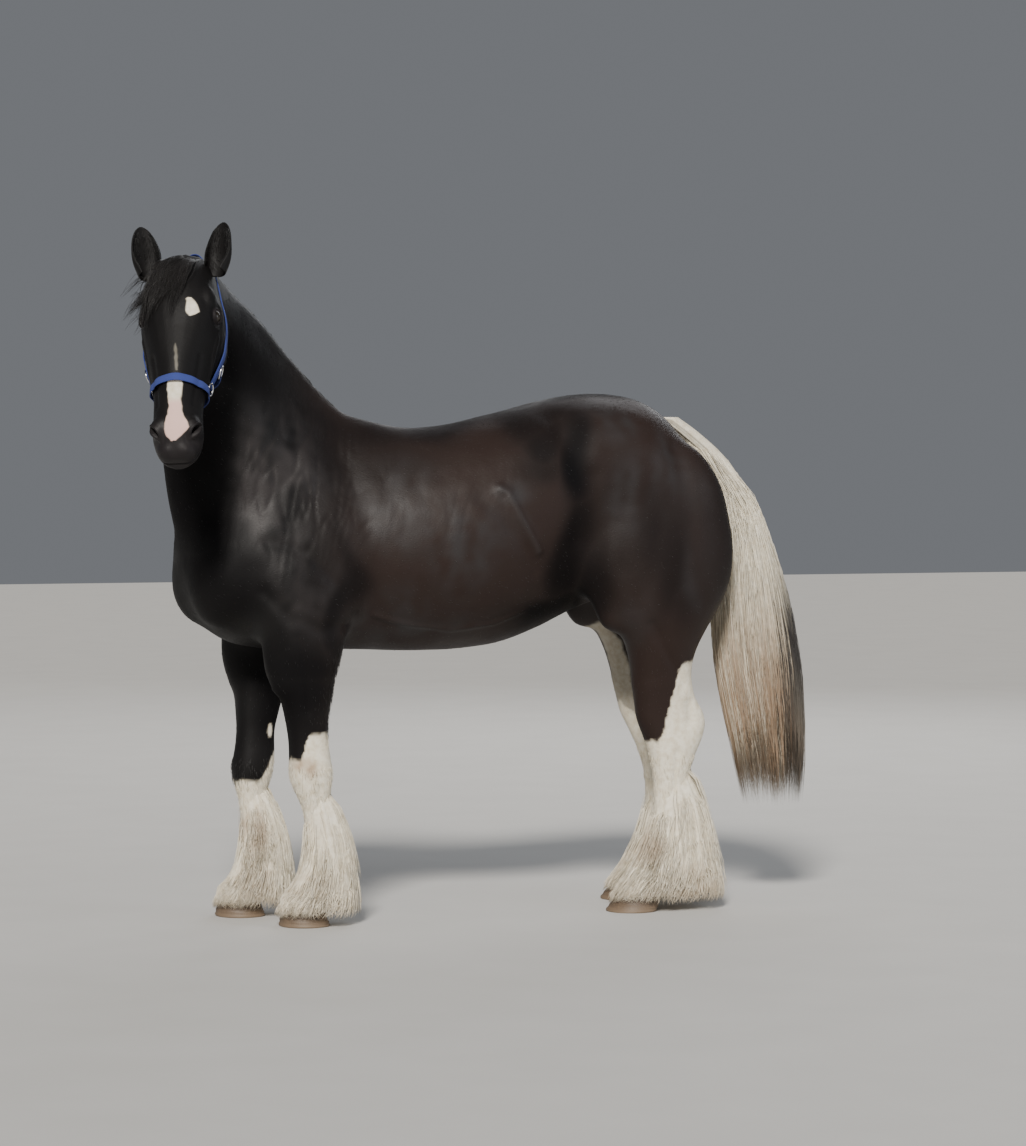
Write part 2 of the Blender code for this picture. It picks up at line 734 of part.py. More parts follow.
def lid_opening(way):
    """An almond-shaped bar from the middle of the eye outwards, which parts the lids."""
    looks = Vector((EYE_LOOKS[0], EYE_LOOKS[1], EYE_LOOKS[2] * way)).normalized()
    long_way = Vector((0.93, -0.36, 0)).cross(looks).cross(looks).normalized()
    frame = Matrix((long_way, looks.cross(long_way), looks)).transposed().to_4x4()
    count = 16
    rings = []
    for depth in (0.0, 0.045):
        ring = []
        for i in range(count):
            angle = 2 * math.pi * i / count
            across = math.cos(angle)
            along = math.copysign(abs(math.sin(angle)) ** 1.5, math.sin(angle))
            ring.append((across * EYE_OPENING[0], along * EYE_OPENING[1], depth))
        rings.append(ring)
    bm = loft(rings)
    centre = Vector((EYE_CENTRE[0], EYE_CENTRE[1], EYE_CENTRE[2] * way))
    bm.transform(HEAD_FRAME @ Matrix.Translation(centre) @ frame)
    return mesh_from(bm, "opening")


def nostril(way):
    """The hollow of a nostril, a leaning comma that runs up and back into the nose."""
    centre = Vector((NOSTRIL[0], NOSTRIL[1], NOSTRIL[2] * way))
    lean = Matrix.Rotation(math.radians(38 * way), 4, "X") @ Matrix.Rotation(math.radians(24), 4, "Z")
    place = HEAD_FRAME @ Matrix.Translation(centre) @ lean
    bm = ball((0, 0, 0), NOSTRIL_RADII, frame=place, segments=10, rings=6)
    return mesh_from(bm, "nostril")


def mouth_slit():
    """The thin gap between the lips, from the corners of the mouth round the front."""
    rings = []
    side = 0.12
    half = MOUTH_GAP / 2
    for down, level in MOUTH_ROWS:
        near, far = MOUTH_LEVEL + level + half, MOUTH_LEVEL + level - half
        rings.append([(down, near, -side), (down, near, side), (down, far, side), (down, far, -side)])
    bm = loft(rings)
    bm.transform(HEAD_FRAME)
    return mesh_from(bm, "mouth")


def ear(way):
    """A leaf rolled into a cup, open to the front, on the side of the poll."""
    across, along = 7, 8
    bm = bmesh.new()
    grid = []
    for i in range(along):
        v = i / (along - 1)
        swell = 0.78 + 0.22 * math.sin(math.pi / 2 * min(v / 0.45, 1.0))
        half = EAR_HALF_WIDTH * max(swell * (1 - v ** 3) ** 0.55, 0.05)
        roll = math.radians(128 - 70 * v)
        row = []
        for j in range(across):
            u = 2 * j / (across - 1) - 1
            side = half * math.sin(u * roll) / math.sin(min(roll, math.pi / 2))
            deep = -half * 0.85 * (math.cos(u * roll) - math.cos(roll)) * (1 - 0.45 * v)
            row.append(bm.verts.new((-EAR_LENGTH * v, deep + 0.02 * v * v, side)))
        grid.append(row)
    for one, two in zip(grid, grid[1:]):
        for j in range(across - 1):
            bm.faces.new((one[j], one[j + 1], two[j + 1], two[j]))
    mesh = bpy.data.meshes.new("ear")
    bm.to_mesh(mesh)
    bm.free()
    leaf = helper("ear", mesh)
    wall = leaf.modifiers.new("wall", "SOLIDIFY")
    wall.thickness = EAR_WALL
    wall.offset = 0
    mesh = evaluated_mesh(leaf)
    turn = Matrix.Rotation(math.radians(EAR_SPREAD * way), 4, "Y")
    turn = turn @ Matrix.Rotation(math.radians(EAR_TURN * way), 4, "X")
    place = Vector((EAR_ROOT[0], EAR_ROOT[1], EAR_ROOT[2] * way))
    mesh.transform(HEAD_FRAME @ Matrix.Translation(place) @ turn)
    bm = bmesh.new()
    bm.from_mesh(mesh)
    return mesh_from(bm, "ear")


def tree_of(*meshes):
    """A search tree over several meshes."""
    points, faces = [], []
    for mesh in meshes:
        start = len(points)
        points += [v.co.copy() for v in mesh.vertices]
        faces += [[start + i for i in face.vertices] for face in mesh.polygons]
    return BVHTree.FromPolygons(points, faces)


def plume(rows, share, place=(0.0, 0.0)):
    """The core of a body of hair through level ellipses (middle X, height, half depth and width)."""
    sides = 12
    rings = []
    for i, (x, z, deep, wide) in enumerate(rows):
        full = max(share, 1.0 - 0.3 * i)
        ring = []
        for j in range(sides):
            angle = 2 * math.pi * j / sides
            ring.append((
                x + place[0] + deep * full * math.cos(angle),
                place[1] + wide * full * math.sin(angle),
                z,
            ))
        rings.append(ring)
    return mesh_from(loft(rings), "plume")


def lock(path, normals, width, thickness):
    """A flat tapered lock of hair along a path: diamonds of four points, drawn to a tip."""
    bm = bmesh.new()
    count = len(path)
    loops = []
    for i in range(count - 1):
        ahead = (path[min(i + 1, count - 1)] - path[max(i - 1, 0)]).normalized()
        normal = (normals[i] - ahead * ahead.dot(normals[i])).normalized()
        across = ahead.cross(normal)
        t = i / (count - 1)
        half = width * (0.62 + 0.5 * t - 0.75 * t ** 4) / 2
        thick = thickness * (1 - 0.55 * t) / 2
        corners = (across * half, normal * thick, -across * half, -normal * thick)
        loops.append([bm.verts.new(path[i] + corner) for corner in corners])
    for one, two in zip(loops, loops[1:]):
        for i in range(4):
            j = (i + 1) % 4
            bm.faces.new((one[i], one[j], two[j], two[i]))
    tip = bm.verts.new(path[-1])
    for i in range(4):
        bm.faces.new((loops[-1][i], loops[-1][(i + 1) % 4], tip))
    bm.faces.new(loops[0][::-1])
    return mesh_from(bm, "lock")


def ellipse_point(rows, u, angle, share, place=(0.0, 0.0)):
    """A point of a body of hair: how far down it, at which angle, how far out."""
    at = np.clip(u, 0, 1) * (len(rows) - 1)
    i = min(int(at), len(rows) - 2)
    x, z, deep, wide = rows[i] + (rows[i + 1] - rows[i]) * (at - i)
    out = Vector((deep * math.cos(angle), wide * math.sin(angle), 0))
    normal = Vector((math.cos(angle) / deep, math.sin(angle) / wide, 0)).normalized()
    return Vector((x + place[0], place[1], z)) + out * share, normal


def tail():
    rows = through(TAIL, 11)
    draw = random.Random(HAIR_SEED)
    pieces = []
    for i in range(TAIL_LOCKS):
        angle = 2 * math.pi * i / TAIL_LOCKS + draw.uniform(-0.04, 0.04)
        start = 0.08 + 0.10 * (i % 3) + draw.uniform(-0.03, 0.03)
        end = draw.uniform(0.90, 1.0)
        full = TAIL_LAYERS[i % 2]
        drift = draw.uniform(-0.10, 0.10)
        path, normals = [], []
        for j in range(6):
            t = j / 5
            share = full * min(0.40 + 1.6 * t, 1.0) if j else ROOT_SHARE["tail"]
            turned = angle + drift * t
            point, normal = ellipse_point(rows, start + (end - start) * t, turned, share)
            path.append(point)
            normals.append(normal)
        pieces.append(lock(path, normals, draw.uniform(0.070, 0.095), 0.014))
    return thinned(joined(plume(rows[:7], CORE_SHARE), pieces), TRIANGLES["tail"])


def feather_rows(pair):
    table = np.array(FEATHER[pair])
    front, back, height, wide = table.T
    return through(np.stack([(front + back) / 2, height, (back - front) / 2, wide], 1), 8)


def feather(pair, side, cannon):
    """The long hair of the lower leg, fused to the cannon."""
    rows = feather_rows(pair)
    place = (swing(pair, side, 0.3), 0.16 * SIDES[side])
    draw = random.Random(HAIR_SEED + len(pair + side))
    pieces = []
    for i in range(FEATHER_LOCKS):
        angle = 2 * math.pi * (i + 0.5) / FEATHER_LOCKS - math.pi
        behind = 0.5 + 0.5 * math.cos(angle)
        start = 0.06 + 0.42 * ((i * 0.37) % 1) + 0.25 * (1 - behind)
        end = min(start + draw.uniform(0.52, 0.66), draw.uniform(0.94, 0.985))
        path, normals = [], []
        for j in range(5):
            t = j / 4
            share = min(0.66 + 0.55 * t, 1.0) * FEATHER_LAYERS[i % 2] if j else ROOT_SHARE["feather"]
            point, normal = ellipse_point(rows, start + (end - start) * t, angle, share, place)
            path.append(point)
            normals.append(normal)
        pieces.append(lock(path, normals, draw.uniform(0.062, 0.080), 0.012))
    core = plume(rows[:6], CORE_SHARE, place)
    return thinned(joined(cannon, [core, *pieces]), TRIANGLES["feathered"])


def crest_row(s):
    """The crest of the neck at a share of its length from the poll, and its right side."""
    row = through(NECK, 60)[int(round((1 - s) * 59))]
    heading = math.radians(row[6])
    return Vector(row[0:3]), Vector((-math.sin(heading), math.cos(heading), 0))


def draped(tree, point, outward, lift):
    """The point moved out of the skin along a direction, and lifted off it."""
    hit = tree.ray_cast(point + outward * 0.5, -outward, 0.62)
    if hit[0] is None:
        return point + outward * 0.5 * lift, outward
    return hit[0] + outward * lift, (hit[1] + outward).normalized()


def mane_lock(tree, s, draw, layer):
    """A lock from the crest over to the animal's right and down the neck."""
    steps = 6
    crest, right = crest_row(s)
    length = MANE_FALL * draw.uniform(0.75, 1.0) * (0.72 + 0.5 * math.sin(math.pi * s))
    slide = draw.uniform(-0.05, 0.03)
    lift = HAIR_LIFT * layer
    along = Vector((right.y, -right.x, 0))
    root = crest - right * 0.030 - Vector((0, 0, 0.012))
    path = [root, crest + right * 0.012 + Vector((0, 0, lift * 0.8))]
    normals = [Vector((0, 0, 1)) - right, Vector((0, 0, 1)) + right * 0.5]
    reach = 0.065
    for j in range(1, steps - 1):
        t = j / (steps - 2)
        low = crest - Vector((0, 0, 0.02 + length * t)) + along * slide * t
        point, _ = draped(tree, low, right, lift)
        reach = min(max((point - low).dot(right), reach - 0.01), reach + 0.03)
        path.append(low + right * reach)
        normals.append(right + Vector((0, 0, 0.25)))
    return lock(path, normals, MANE_WIDTH * draw.uniform(0.8, 1.2), 0.012)


def mane(neck_mesh, tree):
    draw = random.Random(HAIR_SEED + 1)
    locks = []
    for i, s in enumerate(np.linspace(*MANE_SPAN, MANE_LOCKS)):
        locks.append(mane_lock(tree, float(s), draw, MANE_LAYERS[i % 2]))
    return thinned(joined(neck_mesh, locks), TRIANGLES["maned"])


def forelock_lock(tree, share, layer):
    """A lock from between the ears, down the forehead and to the animal's right."""
    spread = 2 * share - 1
    out = (HEAD_FRAME.to_3x3() @ Vector((0, 1, 0))).normalized()
    side = -0.030 - 0.045 * share
    path = [HEAD_FRAME @ Vector((0.035, -0.03, -0.012 + 0.024 * spread))]
    normals = [out]
    length = 0.20 - 0.07 * abs(spread)
    for j in range(1, 6):
        t = j / 5
        low = HEAD_FRAME @ Vector((0.03 + length * t, 0.0, -0.01 + 0.02 * spread + side * t ** 1.3))
        point, normal = draped(tree, low, out, HAIR_LIFT * layer)
        path.append(point)
        normals.append(normal)
    return lock(path, normals, FORELOCK_WIDTH, 0.010)


def forelock(head_mesh, tree):
    locks = []
    for i in range(FORELOCK_LOCKS):
        locks.append(forelock_lock(tree, i / (FORELOCK_LOCKS - 1), FORELOCK_LAYERS[i % 2]))
    return thinned(joined(head_mesh, locks), TRIANGLES["face"])


def strap(tree, stops, closed=False, lift=WEB_LIFT, count=26):
    """Webbing laid on the skin through stops of the head's frame, each with the way to come from."""
    rows = [(*place, *away) for place, away in stops]
    if closed:
        rows = [rows[-1], *rows, rows[0], rows[1]]
    table = through(rows, 6 * count if closed else count)
    points, outs = [], []
    turn = HEAD_FRAME.to_3x3()
    for row in table:
        away = (turn @ Vector(row[3:6])).normalized()
        hit = tree.ray_cast(HEAD_FRAME @ Vector(row[0:3]) + away * 0.3, -away, 0.6)
        points.append(hit[0])
        outs.append((hit[1] * 0.5 + away).normalized())
    if closed:
        step = 2 * math.pi / count
        centre = sum(points, Vector()) / len(points)
        first = points[0] - centre
        normal = (points[len(points) // 4] - centre).cross(first).normalized()
        spokes = [point - centre for point in points]
        angles = [math.atan2(normal.dot(first.cross(a)), first.dot(a)) for a in spokes]
        keep = []
        for i in range(count):
            keep.append(min(range(len(points)), key=lambda k: abs(angle_gap(angles[k], step * i))))
        points, outs = [points[k] for k in keep], [outs[k] for k in keep]
    bm = bmesh.new()
    loops = []
    for i, (point, out) in enumerate(zip(points, outs)):
        if closed:
            ahead = points[(i + 1) % len(points)] - points[i - 1]
        else:
            ahead = points[min(i + 1, len(points) - 1)] - points[max(i - 1, 0)]
        across = ahead.cross(out).normalized() * WEB_WIDTH / 2
        low, high = out * lift, out * (lift + WEB_THICKNESS)
        left, right = point - across, point + across
        corners = (left + low, right + low, right + high, left + high)
        loops.append([bm.verts.new(corner) for corner in corners])
    pairs = list(zip(loops, loops[1:])) + ([(loops[-1], loops[0])] if closed else [])
    for one, two in pairs:
        for i in range(4):
            j = (i + 1) % 4
            bm.faces.new((one[i], one[j], two[j], two[i]))
    if not closed:
        bm.faces.new(loops[0][::-1])
        bm.faces.new(loops[-1])
    return mesh_from(bm, "strap")


def angle_gap(one, two):
    return (one - two + math.pi) % (2 * math.pi) - math.pi


def ring(tree, place, away):
    """A wire ring laid flat over the webbing."""
    turn = HEAD_FRAME.to_3x3()
    away = (turn @ Vector(away)).normalized()
    hit = tree.ray_cast(HEAD_FRAME @ Vector(place) + away * 0.3, -away, 0.6)
    out = hit[1].normalized()
    centre = hit[0] + out * (WEB_LIFT + WEB_THICKNESS + RING_WIRE + 0.0045)
    frame = out.to_track_quat("Z", "Y").to_matrix()
    bm = bmesh.new()
    loops = []
    for i in range(12):
        a = 2 * math.pi * i / 12
        spoke = frame @ Vector((math.cos(a), math.sin(a), 0))
        loop = []
        for j in range(5):
            b = 2 * math.pi * j / 5
            reach = RING_RADIUS + RING_WIRE * math.cos(b)
            loop.append(bm.verts.new(centre + spoke * reach + out * RING_WIRE * math.sin(b)))
        loops.append(loop)
    for one, two in zip(loops, loops[1:] + loops[:1]):
        for j in range(5):
            k = (j + 1) % 5
            bm.faces.new((one[j], one[k], two[k], two[j]))
    return mesh_from(bm, "ring")


def halter(tree):
    """Noseband, cheek straps with the crownpiece, throat strap and chin strap."""
    p = NOSEBAND_PLACE
    around = []
    for i in range(12):
        a = 2 * math.pi * i / 12
        around.append(((p + 0.010 * math.cos(a), -0.09, 0.0), (0.0, math.cos(a), math.sin(a))))
    made = {"halter_noseband": strap(tree, around, closed=True, count=18)}
    crown = []
    for way in (1, -1):
        half = [
            ((p - 0.030, -0.105, 0.0), (0, 0, way)),
            ((0.330, -0.125, 0.0), (0, 0, way)),
            ((0.230, -0.140, 0.0), (0, 0, way)),
            ((0.120, -0.135, 0.0), (0, 0.0, way)),
            ((0.050, -0.122, 0.0), (-0.2, 0.0, way)),
            ((0.005, -0.105, 0.0), (-0.8, 0.1, 0.75 * way)),
        ]
        crown = half if way == 1 else crown + [((-0.010, -0.098, 0.0), (-1.0, 0.1, 0))] + half[::-1]
    made["halter_crown"] = strap(tree, crown, lift=CROWN_LIFT, count=40)
    side = [
        ((0.338, -0.152, 0.0), (0, 0, 1)),
        ((0.334, -0.190, 0.0), (0, -0.30, 1)),
        ((0.330, -0.210, 0.0), (0, -0.90, 0.7)),
        ((0.328, -0.220, 0.0), (0, -1.0, 0.35)),
    ]
    under = ((0.327, -0.220, 0.0), (0, -1, 0))
    other = [(place, (x, y, -z)) for place, (x, y, z) in side[::-1]]
    made["halter_throat"] = strap(tree, [*side, under, *other], count=15)
    for side_name, way in (("left", 1), ("right", -1)):
        made[f"ring_cheek_{side_name}"] = ring(tree, (0.336, -0.142, 0.0), (0, 0, way))
        made[f"ring_nose_{side_name}"] = ring(tree, (p - 0.020, -0.105, 0.0), (0, 0, way))
    return made


def build_horse():
    parts = body_parts()
    for side, way in (("left", 1), ("right", -1)):
        globe = material("eye", (0.01, 0.006, 0.004), 0.08)
        add_node(f"eye_{side}", eyeball(way, EYE_RADIUS - GAP), globe)
    hollows = [eyeball(way, EYE_RADIUS) for way in (-1, 1)]
    hollows += [lid_opening(way) for way in (-1, 1)]
    hollows += [nostril(way) for way in (-1, 1)]
    tree = tree_of(parts["head"], parts["neck"], parts["torso"])
    head_skin = parts["head"]
    parts["head"] = carved(head_skin, hollows + [mouth_slit()])
    around_ear = swollen(parts["head"])
    ears = {}
    for side, way in (("left", 1), ("right", -1)):
        ears[side] = carved(ear(way), [around_ear.copy()])
    for name, mesh in halter(tree_of(head_skin)).items():
        clear_of = [swollen(near) for near in (parts["head"], parts["neck"], *ears.values())]
        if name.startswith("ring"):
            add_node(name, mesh, material("ring_steel", (0.7, 0.7, 0.72), 0.3, 1.0))
        else:
            add_node(name, carved(mesh, clear_of), material("webbing", (0.03, 0.05, 0.22), 0.8))
    straps = [swollen(thing.data) for thing in HORSE.objects if thing.name.startswith("halter")]
    parts["head"] = forelock(parts["head"], tree)
    others = [swollen(parts["head"]), swollen(parts["torso"]), *straps]
    parts["neck"] = carved(mane(parts["neck"], tree), others)
    for side, mesh in ears.items():
        add_node(f"ear_{side}", mesh, black_coat())
    add_node("tail", carved(tail(), [swollen(parts["torso"])]), white_hair())
    for pair in ("fore", "hind"):
        for side in SIDES:
            horn = hoof(pair, side)
            add_node(f"hoof_{pair}_{side}", horn, material("hoof", (0.16, 0.13, 0.10), 0.5))
            upper = "forearm" if pair == "fore" else "gaskin"
            cannon = feather(pair, side, parts[f"cannon_{pair}_{side}"])
            around = [swollen(horn), swollen(parts[f"{upper}_{side}"])]
            parts[f"cannon_{pair}_{side}"] = carved(cannon, around)
    for name, mesh in parts.items():
        add_node(name, mesh, white_hair() if name.startswith("cannon") else black_coat())


def centre_on_floor():
    """Moves everything so that the origin is under the middle of the bounding box."""
    corners = np.array([vertex.co for thing in HORSE.objects for vertex in thing.data.vertices])
    low, high = corners.min(0), corners.max(0)
    shift = Matrix.Translation((-(low[0] + high[0]) / 2, -(low[1] + high[1]) / 2, -low[2]))
    for thing in HORSE.objects:
        thing.data.transform(shift)


build_horse()
centre_on_floor()
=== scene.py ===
"""The looks of the heavy horse: one skin, its hair, eyes, horn and halter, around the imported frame.

Metres, +Z up. Everything is modelled in the body's own frame, in which the animal faces -X and
the middle of its trunk is y = 0, and is then moved by SHIFT to where the frame stands.
"""

import json
import math

import bmesh
import bpy
import numpy as np
from mathutils import Matrix, Vector, noise
from mathutils.bvhtree import BVHTree

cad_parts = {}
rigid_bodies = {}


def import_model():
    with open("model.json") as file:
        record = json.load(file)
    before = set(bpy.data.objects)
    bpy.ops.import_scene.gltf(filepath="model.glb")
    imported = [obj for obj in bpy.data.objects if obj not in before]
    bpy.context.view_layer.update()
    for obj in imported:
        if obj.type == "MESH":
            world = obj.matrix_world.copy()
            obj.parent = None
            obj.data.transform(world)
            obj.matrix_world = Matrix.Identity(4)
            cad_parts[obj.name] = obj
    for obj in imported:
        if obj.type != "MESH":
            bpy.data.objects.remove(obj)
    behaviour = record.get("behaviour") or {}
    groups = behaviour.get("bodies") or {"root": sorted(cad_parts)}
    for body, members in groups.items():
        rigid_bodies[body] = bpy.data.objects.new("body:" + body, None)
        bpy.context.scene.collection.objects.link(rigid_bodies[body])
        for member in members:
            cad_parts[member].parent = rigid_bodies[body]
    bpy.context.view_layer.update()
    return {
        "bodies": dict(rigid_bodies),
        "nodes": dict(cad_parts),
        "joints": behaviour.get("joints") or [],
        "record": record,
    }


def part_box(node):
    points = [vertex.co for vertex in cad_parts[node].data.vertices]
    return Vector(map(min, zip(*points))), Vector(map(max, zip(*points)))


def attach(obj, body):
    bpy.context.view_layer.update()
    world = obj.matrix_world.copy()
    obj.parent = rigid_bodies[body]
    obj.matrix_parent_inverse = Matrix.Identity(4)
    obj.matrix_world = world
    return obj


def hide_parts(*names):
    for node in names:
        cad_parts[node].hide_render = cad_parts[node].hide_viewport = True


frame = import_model()

# The gap between two parts that touch, and the voxel size of the fused skin.
GAP = 0.0003
SKIN_VOXEL = 0.0075
RING_POINTS = 28

# Trunk sections: place along X, height of the back, height of the belly, and the half
# widths at 15%, 50% and 85% of the depth below the back.
TRUNK = (
    (-1.005, 1.27, 1.13, 0.04, 0.07, 0.05),
    (-0.985, 1.34, 1.04, 0.09, 0.145, 0.11),
    (-0.94, 1.42, 0.96, 0.12, 0.205, 0.16),
    (-0.86, 1.50, 0.895, 0.135, 0.245, 0.19),
    (-0.74, 1.57, 0.868, 0.13, 0.265, 0.20),
    (-0.62, 1.61, 0.862, 0.125, 0.272, 0.195),
    (-0.50, 1.635, 0.862, 0.12, 0.275, 0.19),
    (-0.40, 1.615, 0.857, 0.15, 0.29, 0.20),
    (-0.27, 1.583, 0.852, 0.20, 0.322, 0.225),
    (-0.12, 1.592, 0.853, 0.235, 0.342, 0.245),
    (0.04, 1.628, 0.868, 0.25, 0.338, 0.235),
    (0.18, 1.663, 0.912, 0.255, 0.315, 0.20),
    (0.30, 1.688, 0.965, 0.26, 0.30, 0.165),
    (0.42, 1.698, 1.01, 0.255, 0.295, 0.16),
    (0.54, 1.68, 1.02, 0.225, 0.285, 0.19),
    (0.65, 1.615, 1.02, 0.17, 0.26, 0.20),
    (0.74, 1.51, 1.03, 0.12, 0.215, 0.18),
    (0.80, 1.40, 1.08, 0.08, 0.16, 0.13),
    (0.83, 1.30, 1.15, 0.03, 0.08, 0.05),
)

# Neck sections: the crest point, the throat point, the way the neck heads, in degrees to
# the left of straight ahead, and the half widths near the crest, half way and near the throat.
NECK = (
    (-0.42, 0.0, 1.60, -0.90, 0.0, 1.02, 0, 0.11, 0.235, 0.17),
    (-0.53, 0.0, 1.705, -1.01, 0.0, 1.23, 4, 0.085, 0.215, 0.155),
    (-0.64, -0.015, 1.825, -1.05, -0.03, 1.42, 12, 0.065, 0.18, 0.13),
    (-0.76, -0.065, 1.945, -1.075, -0.095, 1.575, 24, 0.052, 0.148, 0.11),
    (-0.885, -0.15, 2.035, -1.085, -0.18, 1.69, 36, 0.047, 0.128, 0.095),
    (-0.985, -0.25, 2.09, -1.06, -0.25, 1.76, 46, 0.045, 0.108, 0.08),
    (-1.07, -0.335, 2.105, -1.12, -0.33, 1.82, 56, 0.045, 0.09, 0.06),
)

# The head's own frame: the poll, the way it looks, how far the face leans out from the
# vertical, and its roll.
POLL = Vector((-1.0996, -0.383, 2.10))
HEAD_HEADING = 66.0
FACE_LEAN = 30.0
HEAD_ROLL = -3.0

# Head sections: distance down the face from the poll, the face line and the jaw line
# measured out from the poll's plane, and the half widths near the face, half way and near
# the jaw.
HEAD = (
    (-0.03, -0.035, -0.17, 0.050, 0.075, 0.045),
    (0.03, 0.005, -0.22, 0.070, 0.094, 0.060),
    (0.09, 0.028, -0.262, 0.088, 0.106, 0.074),
    (0.15, 0.040, -0.288, 0.107, 0.120, 0.086),
    (0.21, 0.044, -0.295, 0.110, 0.126, 0.095),
    (0.27, 0.041, -0.282, 0.096, 0.122, 0.094),
    (0.34, 0.036, -0.245, 0.077, 0.107, 0.082),
    (0.41, 0.029, -0.205, 0.060, 0.089, 0.061),
    (0.48, 0.020, -0.172, 0.053, 0.077, 0.050),
    (0.54, 0.012, -0.158, 0.052, 0.076, 0.052),
    (0.60, -0.004, -0.160, 0.052, 0.078, 0.056),
    (0.65, -0.028, -0.152, 0.042, 0.064, 0.048),
    (0.685, -0.055, -0.125, 0.022, 0.038, 0.025),
)

# Leg sections of the left side: front and back along X, height, how much higher the
# front of the section is than its back, half width, and distance from the middle.
FORELEG = (
    (-0.86, -0.50, 1.16, 0.0, 0.100, 0.190),
    (-0.835, -0.49, 1.04, 0.0, 0.105, 0.190),
    (-0.80, -0.50, 0.95, 0.0, 0.100, 0.185),
    (-0.765, -0.515, 0.87, 0.0, 0.092, 0.180),
    (-0.735, -0.54, 0.78, 0.0, 0.080, 0.172),
    (-0.715, -0.555, 0.69, 0.0, 0.067, 0.167),
    (-0.697, -0.562, 0.60, 0.0, 0.059, 0.163),
    (-0.692, -0.552, 0.535, 0.0, 0.064, 0.160),
    (-0.693, -0.545, 0.48, 0.0, 0.067, 0.160),
    (-0.678, -0.550, 0.43, 0.0, 0.058, 0.160),
    (-0.650, -0.556, 0.37, 0.0, 0.043, 0.160),
    (-0.636, -0.548, 0.28, 0.0, 0.041, 0.160),
    (-0.643, -0.534, 0.215, 0.01, 0.050, 0.160),
    (-0.657, -0.540, 0.17, 0.02, 0.051, 0.160),
    (-0.677, -0.576, 0.125, 0.035, 0.047, 0.160),
    (-0.698, -0.590, 0.085, 0.03, 0.058, 0.160),
    (-0.705, -0.585, 0.03, 0.0, 0.060, 0.160),
)
HINDLEG = (
    (0.30, 0.80, 1.34, 0.0, 0.120, 0.170),
    (0.27, 0.83, 1.22, 0.0, 0.135, 0.175),
    (0.290, 0.825, 1.10, 0.0, 0.135, 0.180),
    (0.345, 0.785, 1.00, 0.0, 0.125, 0.182),
    (0.422, 0.73, 0.92, 0.0, 0.108, 0.182),
    (0.452, 0.69, 0.845, 0.0, 0.092, 0.180),
    (0.466, 0.68, 0.77, 0.0, 0.077, 0.175),
    (0.476, 0.695, 0.70, 0.0, 0.065, 0.170),
    (0.485, 0.725, 0.645, -0.03, 0.060, 0.165),
    (0.505, 0.742, 0.60, -0.03, 0.062, 0.162),
    (0.525, 0.728, 0.545, -0.02, 0.062, 0.160),
    (0.545, 0.695, 0.48, -0.01, 0.054, 0.160),
    (0.553, 0.672, 0.41, 0.0, 0.045, 0.160),
    (0.548, 0.657, 0.31, 0.0, 0.042, 0.160),
    (0.535, 0.658, 0.235, 0.01, 0.051, 0.160),
    (0.515, 0.652, 0.19, 0.02, 0.053, 0.160),
    (0.488, 0.612, 0.14, 0.035, 0.049, 0.160),
    (0.466, 0.588, 0.095, 0.03, 0.060, 0.160),
    (0.455, 0.585, 0.03, 0.0, 0.062, 0.160),
)

# How far each foot is set forward (-) or back (+) of the left one, growing from the
# height where the limb starts to swing.
SWING_TOP = {"fore": 1.05, "hind": 1.45}
SWING_FOOT = 0.45
REACH = {
    ("fore", "left"): 0.0,
    ("fore", "right"): -0.105,
    ("hind", "left"): 0.0,
    ("hind", "right"): 0.092,
}
SIDES = {"left": -1.0, "right": 1.0}

# Muscle masses, the same on both sides: centre, radii, and the lean of the mass in
# degrees, its top towards the tail.
MUSCLES = {
    "shoulder_blade": ((-0.70, 0.160, 1.28), (0.16, 0.075, 0.24), 30),
    "point_of_shoulder": ((-0.86, 0.180, 1.13), (0.095, 0.075, 0.13), 20),
    "triceps": ((-0.61, 0.195, 1.08), (0.17, 0.088, 0.19), 25),
    "breast": ((-0.905, 0.100, 1.09), (0.10, 0.115, 0.15), 0),
    "forearm": ((-0.725, 0.182, 0.84), (0.062, 0.062, 0.13), -8),
    "rump": ((0.38, 0.150, 1.51), (0.25, 0.125, 0.155), 0),
    "hip": ((0.25, 0.225, 1.50), (0.10, 0.055, 0.09), 0),
    "buttock": ((0.655, 0.150, 1.26), (0.17, 0.135, 0.29), -8),
    "thigh": ((0.46, 0.190, 1.20), (0.21, 0.122, 0.26), 0),
    "stifle": ((0.400, 0.190, 1.01), (0.074, 0.075, 0.110), 0),
    "gaskin": ((0.535, 0.200, 0.885), (0.088, 0.076, 0.12), -20),
}

# Masses of the head, in its own frame: down the face, out from it, sideways.
FACE_MASSES = {
    "jowl": ((0.215, -0.195, 0.080), (0.100, 0.085, 0.042)),
    "brow": ((0.160, -0.015, 0.086), (0.050, 0.036, 0.030)),
    "cheek_crest": ((0.30, -0.075, 0.078), (0.095, 0.014, 0.024)),
    "nostril_wing": ((0.590, -0.038, 0.047), (0.038, 0.034, 0.032)),
    "upper_lip": ((0.652, -0.075, 0.020), (0.034, 0.044, 0.042)),
    "chin": ((0.605, -0.165, 0.012), (0.034, 0.024, 0.034)),
}

# The flat cut between head and neck: a point, and the way that the head lies.
HEAD_CUT = (Vector((-1.005, -0.275, 2.06)), Vector((-0.64, -0.70, -0.12)))

# Hooves: the sole's radius, the coronet's radius, height at the toe and at the heel.
SOLE_RADIUS = 0.088
CORONET_RADIUS = 0.063
TOE_HEIGHT = 0.092
HEEL_HEIGHT = 0.052
SOLE_CENTRE = {"fore": -0.636, "hind": 0.476}
CORONET_SETBACK = {"fore": -0.006, "hind": 0.046}

